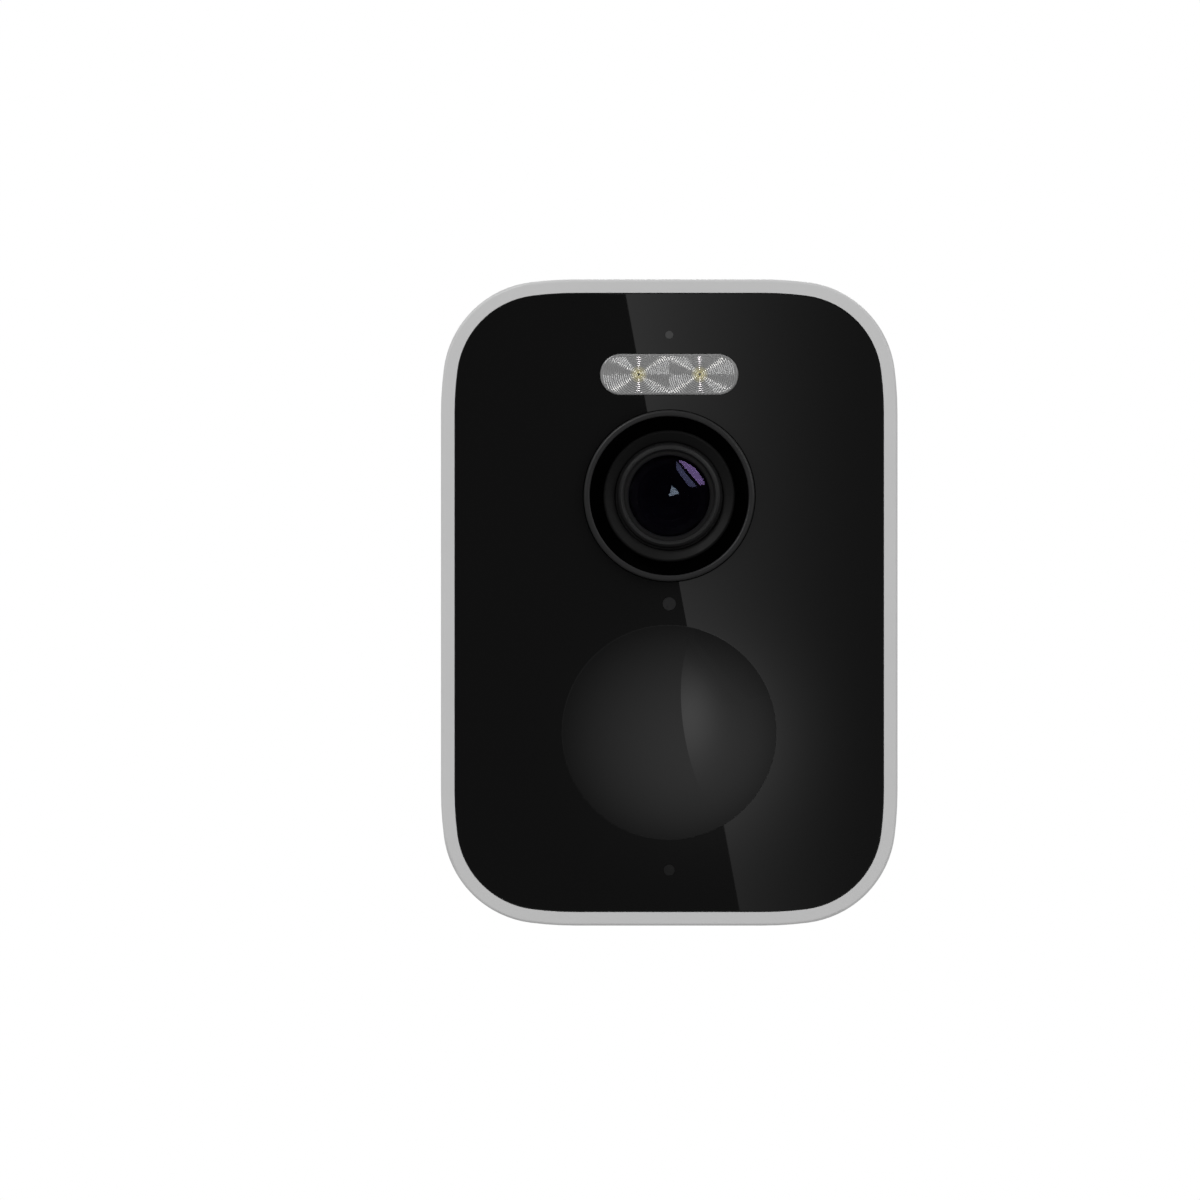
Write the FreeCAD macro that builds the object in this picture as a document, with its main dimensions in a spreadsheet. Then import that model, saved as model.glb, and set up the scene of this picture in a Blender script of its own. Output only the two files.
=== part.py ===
"""Floodlight security camera on its wall bracket, as an assembly of separate pieces, in millimetres.

Frame: the origin is the centre of the wall plate's back, on the wall. +Z is up, +X is to the right of a person
who faces the lens, and the camera looks along -Y. The lengths called out_... are distances from the wall along -Y.

Every sub-part is drawn face up, with its own x to the right, its own y upwards on the real object and its own z
towards the viewer. place() then turns it to face along -Y. On the camera's sub-parts z = 0 is the front
edge of the housing, so z = -depth.
"""

import FreeCAD, Part
import math
import os
from types import SimpleNamespace

import Sketcher

OUT = "parts"
doc = FreeCAD.newDocument("FloodlightCamera")
sheet = doc.addObject("Spreadsheet::Sheet", "Sizes")

# ---------------------------------------------------------------- driving dimensions, in mm and degrees
SIZES = {
    # camera body: a rounded rectangle whose corners are three tangent arcs
    "body_width": 65.7,
    "body_height": 93.0,
    "body_depth": 58.0,
    "corner_radius": 14.4,
    "shoulder_radius": 51.0,
    "shoulder_angle": 7.35,
    "wall": 1.95,
    "rear_wall": 2.2,
    "rear_round": 8.0,
    "edge_round": 0.4,
    "split_depth": 40.0,
    "split_gap": 0.15,
    "fit_gap": 0.1,
    "panel_gap": 0.05,
    # front stack
    "panel_front": 0.1,
    "panel_back": 1.7,
    "tape_back": 1.9,
    "frame_back": 4.0,
    "skirt_back": 5.4,
    "ledge_front": 6.0,
    "ledge_back": 8.2,
    "ledge_inset": 6.0,
    "skirt_inset": 5.2,
    # features of the face: heights are above the body's centre
    "lens_height": 15.33,
    "light_height": 32.8,
    "dome_height": -18.7,
    "top_dot_height": 38.5,
    "middle_dot_height": -0.2,
    "bottom_dot_height": -38.5,
    "top_dot_radius": 0.58,
    "middle_dot_radius": 0.94,
    "bottom_dot_radius": 0.78,
    # lens ring and the recess behind it
    "ring_radius": 12.3,
    "ring_inner": 11.45,
    "ring_proud": 1.3,
    "ring_flange": 13.1,
    "ring_gap": 0.15,
    "recess_floor": 7.0,
    "recess_floor_back": 8.0,
    # lens
    "hood_radius": 9.5,
    "hood_inner": 7.75,
    "barrel_radius": 7.55,
    "barrel_thread": 6.0,
    "glass_radius": 5.83,
    "element_radius": 6.45,
    "bore_radius": 4.6,
    # light
    "light_width": 19.9,
    "light_tall": 5.9,
    "light_lip": 0.8,
    "led_spacing": 8.8,
    # motion-sensor dome
    "dome_radius": 15.4,
    "dome_rise": 3.4,
    "dome_wall": 0.9,
    "dome_lip": 0.9,
    # screws
    "rear_screw_x": 21.5,
    "rear_screw_y": 35.4,
    "frame_screw_x": 29.1,
    "frame_screw_y": 24.0,
    # battery
    "cell_radius": 9.1,
    "cell_length": 64.6,
    "cell_spacing": 18.8,
    "cell_depth": 41.9,
    "cell_height": 8.0,
    # boards: depth of the front face of each
    "sensor_board_depth": 23.4,
    "front_board_depth": 13.2,
    "main_board_depth": 28.6,
    "port_board_depth": 47.0,
    "board_thickness": 1.2,
    # port cover and the buttons on the rear
    "port_x": -5.0,
    "cover_width": 21.6,
    "hinge_height": -35.2,
    "cover_top": -23.8,
    "cover_thickness": 1.5,
    "barrel_round": 1.3,
    "pin_radius": 0.6,
    "running_gap": 0.05,
    "power_x": 13.2,
    "power_height": -29.5,
    "power_radius": 4.0,
    # bracket: distances from the wall
    "plate_radius": 28.0,
    "plate_thickness": 9.0,
    "screw_circle": 40.0,
    "screw_hole": 2.3,
    "swivel_bore": 4.05,
    "pivot_out": 26.0,
    "ear_radius": 7.0,
    "ear_thickness": 4.2,
    "ear_gap": 9.2,
    "clamp_radius": 2.45,
    "head_out": 36.0,
    "wheel_out": 40.2,
    "wheel_radius": 11.0,
    "wheel_thickness": 5.5,
    "rear_out": 46.0,
    "stud_radius": 3.12,
    "insert_bore": 3.17,
    "insert_depth": 6.4,
}

# ---------------------------------------------------------------- sizes that carry their own expression


class Size:
    """A number together with the spreadsheet expression that gives it."""

    def __init__(self, value, text):
        self.value = float(value)
        self.text = text

    def __add__(self, other):
        other = as_size(other)
        return Size(self.value + other.value, f"({self.text} + {other.text})")

    def __sub__(self, other):
        other = as_size(other)
        return Size(self.value - other.value, f"({self.text} - {other.text})")

    def __mul__(self, other):
        other = as_size(other)
        return Size(self.value * other.value, f"({self.text} * {other.text})")

    def __truediv__(self, other):
        other = as_size(other)
        return Size(self.value / other.value, f"({self.text} / {other.text})")

    def __neg__(self):
        return Size(-self.value, f"(0 - {self.text})")

    def __radd__(self, other):
        return as_size(other) + self

    def __rsub__(self, other):
        return as_size(other) - self

    def __rmul__(self, other):
        return as_size(other) * self


def as_size(value):
    return value if isinstance(value, Size) else Size(value, repr(float(value)))


def sine(angle):
    return Size(math.sin(math.radians(angle.value)), f"sin({angle.text})")


def cosine(angle):
    return Size(math.cos(math.radians(angle.value)), f"cos({angle.text})")


def write_sheet():
    """Fills the spreadsheet and returns the sizes by name."""
    for row, (alias, value) in enumerate(SIZES.items(), start=1):
        sheet.set(f"A{row}", alias)
        sheet.set(f"B{row}", str(value))
        sheet.setAlias(f"B{row}", alias)
    doc.recompute()
    return SimpleNamespace(**{a: Size(v, f"Sizes.{a}") for a, v in SIZES.items()})


S = write_sheet()


def bind(obj, prop, size):
    """Ties a property to its expression, or sets a plain number."""
    if isinstance(size, Size):
        obj.setExpression(prop, size.text)
    else:
        obj.setExpression(prop, repr(float(size)))


# ---------------------------------------------------------------- placing and keeping sub-parts
FRONT = FreeCAD.Rotation(FreeCAD.Vector(1, 0, 0), 90)
DOWN = FreeCAD.Rotation(FreeCAD.Vector(1, 0, 0), 180)
RIGHT = FreeCAD.Rotation(FreeCAD.Vector(0, 1, 0), 90)
UP = FreeCAD.Rotation()
front_out = S.rear_out + S.body_depth
kept = {}


def place(obj, x=0.0, height=0.0, out=front_out, facing=FRONT):
    """Puts a sub-part at x, height and out from the wall, facing the given way."""
    obj.Placement = FreeCAD.Placement(FreeCAD.Vector(0, 0, 0), facing)
    bind(obj, "Placement.Base.x", as_size(x))
    bind(obj, "Placement.Base.y", -as_size(out))
    bind(obj, "Placement.Base.z", as_size(height))


def keep(obj, label):
    """Names a finished sub-part; its label is its file's name."""
    obj.Label = label
    kept[label] = obj
    return obj


# ---------------------------------------------------------------- sketches


def origin_plane(body, role):
    return next(f for f in body.Origin.OriginFeatures if f.Role == role)


def new_sketch(body, name, plane="XY_Plane", level=0.0):
    """A sketch on one of the body's own planes, moved along its normal by level."""
    sketch = body.newObject("Sketcher::SketchObject", name)
    sketch.AttachmentSupport = [(origin_plane(body, plane), "")]
    sketch.MapMode = "FlatFace"
    bind(sketch, "AttachmentOffset.Base.z", as_size(level))
    return sketch


def fix_point(sketch, geometry, position, x, y):
    """Holds a sketch point at x, y from the sketch's origin, on the axes where a value is zero."""
    for value, kind, axis in ((x, "DistanceX", -2), (y, "DistanceY", -1)):
        value = as_size(value)
        if abs(value.value) < 1e-9:
            sketch.addConstraint(Sketcher.Constraint("PointOnObject", geometry, position, axis))
            continue
        index = sketch.addConstraint(Sketcher.Constraint(kind, -1, 1, geometry, position, value.value))
        sketch.setExpression(f"Constraints[{index}]", value.text)


def add_circle(sketch, x, y, radius):
    x, y, radius = as_size(x), as_size(y), as_size(radius)
    centre = FreeCAD.Vector(x.value, y.value, 0)
    circle = sketch.addGeometry(Part.Circle(centre, FreeCAD.Vector(0, 0, 1), radius.value), False)
    fix_point(sketch, circle, 3, x, y)
    index = sketch.addConstraint(Sketcher.Constraint("Radius", circle, radius.value))
    sketch.setExpression(f"Constraints[{index}]", radius.text)


def arc_between(start, end, radius):
    """The short arc from start to end, bulging to the right of the way from start to end if radius is positive."""
    chord = end - start
    left = FreeCAD.Vector(-chord.y, chord.x, 0).normalize()
    side = 1.0 if radius > 0 else -1.0
    rise = math.sqrt(max(radius * radius - chord.Length * chord.Length / 4.0, 0.0))
    centre = (start + end) * 0.5 + left * (side * rise)
    middle = centre - left * (side * abs(radius))
    if radius > 0:
        return Part.Arc(start, middle, end)
    return Part.Arc(end, middle, start)


def add_outline(sketch, points, arcs=None):
    """A closed outline through points, anticlockwise. arcs gives the radius of each side that is an arc, by the
    number of the point it starts at: positive where the outline bulges out, negative where it is hollow."""
    arcs = arcs or {}
    points = [(as_size(x), as_size(y)) for x, y in points]
    places = [FreeCAD.Vector(x.value, y.value, 0) for x, y in points]
    sides = []
    for k, start in enumerate(places):
        end = places[(k + 1) % len(places)]
        if k in arcs:
            radius = as_size(arcs[k])
            index = sketch.addGeometry(arc_between(start, end, radius.value), False)
            first, last = (1, 2) if radius.value > 0 else (2, 1)
            sides.append((index, first, last, radius))
        else:
            index = sketch.addGeometry(Part.LineSegment(start, end), False)
            sides.append((index, 1, 2, None))
    for k, (index, _, last, _) in enumerate(sides):
        following = sides[(k + 1) % len(sides)]
        sketch.addConstraint(Sketcher.Constraint("Coincident", index, last, following[0], following[1]))
    for (index, first, _, radius), (x, y) in zip(sides, points):
        fix_point(sketch, index, first, x, y)
        if radius is not None:
            size = radius if radius.value > 0 else -radius
            number = sketch.addConstraint(Sketcher.Constraint("Radius", index, size.value))
            sketch.setExpression(f"Constraints[{number}]", size.text)


def add_rectangle(sketch, x_low, x_high, y_low, y_high):
    add_outline(sketch, [(x_low, y_low), (x_high, y_low), (x_high, y_high), (x_low, y_high)])


def add_pill(sketch, x, y, width, tall):
    """A rectangle with round ends, its long side along x."""
    x, y, width, tall = as_size(x), as_size(y), as_size(width), as_size(tall)
    radius = tall / 2
    straight = width / 2 - radius
    points = [
        (x - straight, y - radius),
        (x + straight, y - radius),
        (x + straight + radius, y),
        (x + straight, y + radius),
        (x - straight, y + radius),
        (x - straight - radius, y),
    ]
    add_outline(sketch, points, {1: radius, 2: radius, 4: radius, 5: radius})


def add_body_outline(sketch, inset):
    """The camera body's outline, moved in by inset. Each corner is a shoulder arc, a corner arc and a shoulder arc."""
    inset = as_size(inset)
    half_w = S.body_width / 2 - inset
    half_h = S.body_height / 2 - inset
    shoulder = S.shoulder_radius - inset
    corner = S.corner_radius - inset
    sin_a, cos_a = sine(S.shoulder_angle), cosine(S.shoulder_angle)
    reach = shoulder * (1 + sin_a - cos_a) + corner * (cos_a - sin_a)
    run = shoulder * sin_a
    drop = shoulder * (1 - cos_a)
    quarter = [
        (half_w, half_h - reach),
        (half_w - drop, half_h - reach + run),
        (half_w - reach + run, half_h - drop),
        (half_w - reach, half_h),
    ]
    mirrored = [(-x, y) for x, y in reversed(quarter)]
    points = quarter + mirrored
    points += [(-x, -y) for x, y in quarter] + [(-x, -y) for x, y in mirrored]
    arcs = {}
    for corner_start in (0, 4, 8, 12):
        arcs.update({corner_start: shoulder, corner_start + 1: corner, corner_start + 2: shoulder})
    add_outline(sketch, points, arcs)


# ---------------------------------------------------------------- features


def new_body(label, **where):
    body = doc.addObject("PartDesign::Body", label)
    place(body, **where)
    return keep(body, label)


def pad(body, sketch, length):
    feature = body.newObject("PartDesign::Pad", "Pad")
    feature.Profile = sketch
    bind(feature, "Length", as_size(length))
    sketch.Visibility = False
    return feature


def pocket(body, sketch, length):
    """Cuts from the sketch against its normal, and checks that something was cut."""
    doc.recompute()
    before = body.Shape.Volume
    feature = body.newObject("PartDesign::Pocket", "Pocket")
    feature.Profile = sketch
    bind(feature, "Length", as_size(length))
    doc.recompute()
    if body.Shape.Volume > before - 1e-3:
        raise RuntimeError(f"{body.Label}: a pocket cut nothing")
    return feature


def slab(body, draw, low, high, plane="XY_Plane"):
    """Adds material between two levels; draw adds the outline to a sketch."""
    low, high = as_size(low), as_size(high)
    sketch = new_sketch(body, "Outline", plane, low)
    draw(sketch)
    return pad(body, sketch, high - low)


def hole(body, draw, low, high, plane="XY_Plane"):
    """Removes material between two levels."""
    low, high = as_size(low), as_size(high)
    sketch = new_sketch(body, "Cut", plane, high)
    draw(sketch)
    return pocket(body, sketch, high - low)


def edges_near(shape, level, tolerance=1e-3):
    """The names of the edges that lie at one z level of the body's own frame."""
    names = []
    for number, edge in enumerate(shape.Edges, start=1):
        box = edge.BoundBox
        if abs(box.ZMin - level) < tolerance and abs(box.ZMax - level) < tolerance:
            names.append(f"Edge{number}")
    return names


def round_edges(body, level, radius):
    """Rounds the edges at one level of the newest feature."""
    doc.recompute()
    tip = body.Tip
    feature = body.newObject("PartDesign::Fillet", "Fillet")
    feature.Base = (tip, edges_near(tip.Shape, as_size(level).value))
    bind(feature, "Radius", as_size(radius))
    doc.recompute()
    if "Invalid" in feature.State:
        raise RuntimeError(f"{body.Label}: a fillet failed")
    return feature


def turned(label, points, arcs=None, **where):
    """A turned sub-part: points are (radius, z) round its own z axis."""
    body = new_body(label, **where)
    sketch = new_sketch(body, "Profile", "XZ_Plane")
    add_outline(sketch, points, arcs)
    feature = body.newObject("PartDesign::Revolution", "Revolution")
    feature.Profile = sketch
    feature.ReferenceAxis = (sketch, ["V_Axis"])
    feature.Angle = 360
    return body


def cap_radius(base, rise):
    """The radius of a spherical cap with this base radius and rise, so that its centre lies on the axis."""
    base, rise = as_size(base), as_size(rise)
    return (base * base + rise * rise) / (rise * 2)


def washer_profile(inner, outer, low, high):
    return [(inner, low), (outer, low), (outer, high), (inner, high)]


def block(label, size, low, **where):
    """A plain rectangular piece: size and low corner are (x, y, z) in its own frame."""
    body = new_body(label, **where)
    high_x, high_y = as_size(low[0]) + size[0], as_size(low[1]) + size[1]
    slab(body, lambda s: add_rectangle(s, low[0], high_x, low[1], high_y), low[2], as_size(low[2]) + size[2])
    return body


def screws(label, centres, head, shank, under_head, tip, direction=1, **where):
    """Identical screws in one node. The head's underside is at under_head, and the tip reaches tip."""
    body = new_body(label, **where)
    head_radius, head_height = head
    far_head = as_size(under_head) - head_height * direction
    heads = sorted((as_size(under_head), far_head), key=lambda v: v.value)
    shanks = sorted((as_size(under_head), as_size(tip)), key=lambda v: v.value)
    for radius, levels in ((head_radius, heads), (shank, shanks)):

        def draw(sketch, radius=radius):
            for x, y in centres:
                add_circle(sketch, x, y, radius)

        slab(body, draw, levels[0], levels[1])
    return body


def corners(x, y):
    return [(x, y), (-x, y), (-x, -y), (x, -y)]


def hexagon_points(radius, x=0.0, y=0.0):
    turns = [math.radians(60 * k) for k in range(6)]
    return [(as_size(x) + radius * math.cos(a), as_size(y) + radius * math.sin(a)) for a in turns]


def board_screws():
    """Ten identical screws: through the main board, the battery cradle and the port board, with heads forward."""
    body = new_body("board_screws")
    plate_front = -(S.main_board_depth + S.board_thickness) - CRADLE_GAP
    seats = [(MAIN_SCREWS, -S.main_board_depth), (POSTS, plate_front), (BOARD_BOSSES, -S.port_board_depth)]
    for centres, seat in seats:
        for radius, low, high in ((1.8, seat, seat + 1.1), (PILOT, seat - 3.5, seat)):
            slab(body, lambda s: [add_circle(s, x, y, radius) for x, y in centres], low, high)


def lead(label, points, radius):
    """A round lead along straight runs joined by arcs, given in the row frame."""
    places = [FreeCAD.Vector(*p) for p in points]
    edges = []
    start = places[0]
    for before, at, after in zip(places, places[1:], places[2:]):
        back = (before - at).normalize()
        on = (after - at).normalize()
        turn = math.pi - back.getAngle(on)
        reach = 0.45 * min((before - at).Length, (after - at).Length)
        bisector = (back + on).normalize()
        bend = reach / math.tan(turn / 2)
        centre = at + bisector * (bend / math.cos(turn / 2))
        first, last = at + back * reach, at + on * reach
        edges.append(Part.LineSegment(start, first).toShape())
        edges.append(Part.Arc(first, centre - bisector * bend, last).toShape())
        start = last
    edges.append(Part.LineSegment(start, places[-1]).toShape())
    path = Part.Wire(edges)
    direction = (places[1] - places[0]).normalize()
    section = Part.Wire([Part.Circle(places[0], direction, radius.value).toShape()])
    tube = path.makePipeShell([section], True, False)
    feature = doc.addObject("Part::Feature", label)
    feature.Shape = tube
    expected = math.pi * radius.value**2 * path.Length
    if abs(tube.Volume - expected) > 0.02 * expected:
        raise RuntimeError(f"{label}: the tube's volume is off")
    return keep(feature, label)


# ---------------------------------------------------------------- camera casing
front = 0.0
split = -S.split_depth
rear = -S.body_depth
POSTS = corners(S.rear_screw_x, S.rear_screw_y)
FRAME_SCREWS = corners(S.frame_screw_x, S.frame_screw_y)
POST_RADIUS = 2.6
POST_FRONT = 32.6
WEB_BACK = 36.8
PILOT = 0.9
SPEAKER_DEPTH = 23.5
CRADLE_GAP = 1.0
MAIN_SCREWS = corners(16.0, 30.0)


def housing():
    """White front sleeve, open at both ends, with a ledge for the front frame and posts for the rear screws."""
    body = new_body("housing")
    slab(body, lambda s: add_body_outline(s, 0), split, front)
    round_edges(body, front, S.edge_round)
    hole(body, lambda s: add_body_outline(s, S.wall), -S.ledge_front, front)
    hole(body, lambda s: add_body_outline(s, S.wall), split, -S.ledge_back)
    hole(body, lambda s: add_body_outline(s, S.ledge_inset), -S.ledge_back, -S.ledge_front)
    hole(body, lambda s: [add_circle(s, x, y, 1.0) for x, y in FRAME_SCREWS], -S.ledge_back, -S.ledge_front)
    slab(body, lambda s: [add_circle(s, x, y, POST_RADIUS) for x, y in POSTS], split, -POST_FRONT)
    inner_side = S.body_width / 2 - S.wall

    def webs(sketch):
        for side in (1, -1):
            for y in (S.rear_screw_y, -S.rear_screw_y):
                near, far = (S.rear_screw_x + 1) * side, (inner_side + 0.5) * side
                low, high = (near, far) if side > 0 else (far, near)
                add_rectangle(sketch, low, high, y - 1, y + 1)

    slab(body, webs, -WEB_BACK, -POST_FRONT)
    hole(body, lambda s: [add_circle(s, x, y, PILOT) for x, y in POSTS], split, -POST_FRONT)

    def grille(sketch):
        """Rows of small holes under the speaker; this sketch's y is the body's z."""
        for row in range(-2, 3):
            count = 7 - abs(row)
            for k in range(count):
                add_circle(sketch, 2.4 * (k - (count - 1) / 2), row * 2.1 - SPEAKER_DEPTH, 0.6)

    hole(body, grille, S.body_height / 2 - S.wall - 0.5, S.body_height / 2, "XZ_Plane")


WINDOW = {"left": -13.5, "right": 3.5, "low": -32.7, "high": -24.3, "floor": 54.6}
PORT_BLOCK = {"left": -18.0, "right": 8.0, "low": -38.6, "high": -21.6, "front": 53.6}
USB_SPOT = (-8.4, -30.1)
CARD_SPOT = (-7.4, -26.3)
RESET_SPOT = (0.9, -29.4)
BOARD_BOSSES = [(-14.5, -39.0), (14.5, -39.0)]
RECESS_DEPTH = 1.7
SEAL_WIDTH = 0.9
SEAL_FROM = 0.7
SEAL_TO = 1.9
TROUGH_DEPTH = 3.0


def rear_cover():
    """White rear shell with the port recess, the insert's boss, the screw posts and a lip that enters the sleeve."""
    body = new_body("rear_cover")
    top = split - S.split_gap
    floor = rear + S.rear_wall
    slab(body, lambda s: add_body_outline(s, 0), rear, top)
    hole(body, lambda s: add_body_outline(s, S.rear_wall), floor, top)
    round_edges(body, floor, S.rear_round - S.rear_wall)
    round_edges(body, rear, S.rear_round)

    def lip(sketch):
        add_body_outline(sketch, S.wall + S.fit_gap)
        add_body_outline(sketch, S.wall + 2)

    slab(body, lip, split - 3, split + 2.8)

    def seal_groove(sketch):
        add_body_outline(sketch, S.wall)
        add_body_outline(sketch, S.wall + SEAL_WIDTH)

    hole(body, seal_groove, split + SEAL_FROM, split + SEAL_TO)
    slab(body, lambda s: [add_circle(s, x, y, 3.0) for x, y in POSTS], floor - 0.6, split)
    slab(body, lambda s: add_circle(s, 0, 0, 6.5), floor - 0.6, rear + S.insert_depth + 0.2)
    b = PORT_BLOCK
    slab(body, lambda s: add_rectangle(s, b["left"], b["right"], b["low"], b["high"]), floor - 0.6, -b["front"])
    board_back = -(S.port_board_depth + S.board_thickness)
    slab(body, lambda s: [add_circle(s, x, y, 2.2) for x, y in BOARD_BOSSES], floor - 0.6, board_back)
    half = S.cover_width / 2 + 0.25
    trough_low = S.hinge_height - S.barrel_round - 0.4

    def recess(sketch):
        add_rectangle(sketch, S.port_x - half, S.port_x + half, trough_low, S.cover_top + 0.3)

    hole(body, recess, rear, rear + RECESS_DEPTH)
    hole(
        body,
        lambda s: add_rectangle(s, S.port_x - half, S.port_x + half, trough_low, S.hinge_height + 1.7),
        rear,
        rear + TROUGH_DEPTH,
    )
    w = WINDOW
    hole(body, lambda s: add_rectangle(s, w["left"], w["right"], w["low"], w["high"]), rear, -w["floor"])

    def floor_openings(sketch):
        add_pill(sketch, *USB_SPOT, 9.2, 3.4)
        add_rectangle(sketch, CARD_SPOT[0] - 6.0, CARD_SPOT[0] + 6.0, CARD_SPOT[1] - 1.1, CARD_SPOT[1] + 1.1)
        add_circle(sketch, *RESET_SPOT, 1.0 + S.running_gap)

    hole(body, floor_openings, -w["floor"], -b["front"])
    hole(body, lambda s: add_pill(s, S.port_x, S.cover_top + 0.3, 8.0, 3.0), rear, rear + 1.1)
    hole(body, lambda s: add_circle(s, S.power_x, S.power_height, S.power_radius + 0.15), rear, floor)
    hole(body, lambda s: add_circle(s, 0, 0, 4.6), rear, rear + S.insert_depth)
    hole(body, lambda s: add_circle(s, 0, 0, 6.0), rear, rear + 0.8)
    hole(body, lambda s: [add_circle(s, x, y, 1.35) for x, y in POSTS], rear, split)
    hole(body, lambda s: [add_circle(s, x, y, 2.5) for x, y in POSTS], rear, rear + 6)
    hole(body, lambda s: [add_circle(s, x, y, PILOT) for x, y in BOARD_BOSSES], board_back - 5, board_back)
    pin_hole = new_sketch(body, "PinHole", "YZ_Plane", S.port_x - half - 1.6)
    add_circle(pin_hole, S.hinge_height, rear + S.barrel_round, S.pin_radius)
    doc.recompute()
    feature = body.newObject("PartDesign::Pocket", "PinBore")
    feature.Profile = pin_hole
    feature.Reversed = True
    bind(feature, "Length", half * 2 + 3.2)


def casing_small_parts():
    def ring(sketch):
        add_body_outline(sketch, S.wall)
        add_body_outline(sketch, S.wall + SEAL_WIDTH)

    rear_seal = new_body("rear_seal")
    slab(rear_seal, ring, split + SEAL_FROM, split + SEAL_TO)
    rear_screws = screws("rear_screws", POSTS, (2.35, 1.8), PILOT, rear + 6, split + 5.5)

    def sockets(sketch):
        for x, y in POSTS:
            add_outline(sketch, hexagon_points(1.25, x, y))

    hole(rear_screws, sockets, rear + 4.2, rear + 5.3)
    turned(
        "tripod_insert",
        [
            (S.insert_bore, rear + 0.05),
            (6.0, rear + 0.05),
            (6.0, rear + 0.8),
            (4.6, rear + 0.8),
            (4.6, rear + S.insert_depth),
            (S.insert_bore, rear + S.insert_depth),
        ],
    )


# ---------------------------------------------------------------- front assembly
DOTS = [
    (S.top_dot_height, S.top_dot_radius),
    (S.middle_dot_height, S.middle_dot_radius),
    (S.bottom_dot_height, S.bottom_dot_radius),
]
INFRARED_X = 22.0
FRONT_POSTS = [(16.5, -0.9), (-16.5, -0.9), (-16.5, -37.4), (16.5, -37.4)]
LIGHT_POSTS = [(10.7, 38.8), (-10.7, 38.8)]


def front_stack():
    """Gloss panel, its tape, the black frame behind it and the seal that the frame is pressed onto."""
    panel = new_body("front_panel")
    slab(panel, lambda s: add_body_outline(s, S.wall + S.panel_gap), -S.panel_back, -S.panel_front)
    round_edges(panel, -S.panel_front, 0.15)

    def openings(sketch):
        add_circle(sketch, 0, S.lens_height, S.ring_radius + S.ring_gap)
        add_circle(sketch, 0, S.dome_height, S.dome_radius + S.panel_gap)
        add_pill(sketch, 0, S.light_height, S.light_width + S.panel_gap * 2, S.light_tall + S.panel_gap * 2)
        for height, radius in DOTS:
            add_circle(sketch, 0, height, radius + 0.02)

    hole(panel, openings, -S.panel_back, -S.panel_front)

    def lip_openings(sketch):
        add_circle(sketch, 0, S.lens_height, S.ring_flange + S.fit_gap)
        add_circle(sketch, 0, S.dome_height, S.dome_radius + S.dome_lip + S.fit_gap)
        grow = S.light_lip * 2 + S.fit_gap * 2
        add_pill(sketch, 0, S.light_height, S.light_width + grow, S.light_tall + grow)

    tape = new_body("panel_tape")
    slab(tape, lambda s: add_body_outline(s, S.wall + 0.8), -S.tape_back, -S.panel_back)
    hole(tape, lip_openings, -S.tape_back, -S.panel_back)
    hole(tape, lambda s: [add_circle(s, 0, h, r + 0.2) for h, r in DOTS], -S.tape_back, -S.panel_back)

    frame = new_body("front_frame")
    slab(frame, lambda s: add_body_outline(s, S.wall + 0.15), -S.frame_back, -S.tape_back)

    def skirt(sketch):
        add_body_outline(sketch, S.wall + 0.15)
        add_body_outline(sketch, S.skirt_inset)

    slab(frame, skirt, -S.skirt_back, -S.frame_back)
    slab(
        frame,
        lambda s: add_circle(s, 0, S.lens_height, S.ring_inner + 1.6),
        -S.recess_floor_back,
        -S.frame_back,
    )
    slab(frame, lambda s: [add_circle(s, x, y, 1.6) for x, y in FRONT_POSTS], -S.front_board_depth, -S.frame_back)
    slab(frame, lambda s: [add_circle(s, x, y, 1.2) for x, y in LIGHT_POSTS], -7.4, -S.frame_back)
    slab(
        frame,
        lambda s: [add_circle(s, x, S.lens_height, 4.0) for x in (INFRARED_X, -INFRARED_X)],
        -7.0,
        -S.frame_back,
    )
    hole(frame, lip_openings, -(S.tape_back + 1), -S.tape_back)
    hole(frame, lambda s: add_circle(s, 0, S.lens_height, S.ring_inner), -S.recess_floor, -S.tape_back)
    hole(
        frame,
        lambda s: add_circle(s, 0, S.lens_height, S.hood_radius + 0.25),
        -S.recess_floor_back,
        -S.recess_floor,
    )

    def through(sketch):
        add_circle(sketch, 0, S.dome_height, S.dome_radius - 0.8)
        add_pill(sketch, 0, S.light_height, S.light_width, S.light_tall)
        for height, radius in DOTS:
            add_circle(sketch, 0, height, radius + 0.02)
        for side in (1, -1):
            add_circle(sketch, INFRARED_X * side, S.lens_height, 2.6)

    hole(frame, through, -7.0, -S.tape_back)
    hole(frame, lambda s: [add_circle(s, x, y, 0.8) for x, y in FRAME_SCREWS], -S.skirt_back, -2.8)

    seal = new_body("front_seal")

    def seal_ring(sketch):
        add_body_outline(sketch, S.wall + 0.2)
        add_body_outline(sketch, S.skirt_inset)

    slab(seal, seal_ring, -S.ledge_front, -S.skirt_back)
    hole(seal, lambda s: [add_circle(s, x, y, 1.2) for x, y in FRAME_SCREWS], -S.ledge_front, -S.skirt_back)
    screws("frame_screws", FRAME_SCREWS, (1.8, 1.3), 0.8, -S.ledge_back, -3.2)


def face_pins():
    """The three small pins whose ends are the dots on the face."""
    for label, (height, radius), back in zip(
        ("light_sensor_pin", "status_light_pin", "microphone_plug"), DOTS, (7.2, 11.9, 11.9)
    ):
        end = -(as_size(back))
        turned(label, [(0, end), (radius, end), (radius, -S.panel_front), (0, -S.panel_front)], height=height)


# ---------------------------------------------------------------- lens


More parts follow.
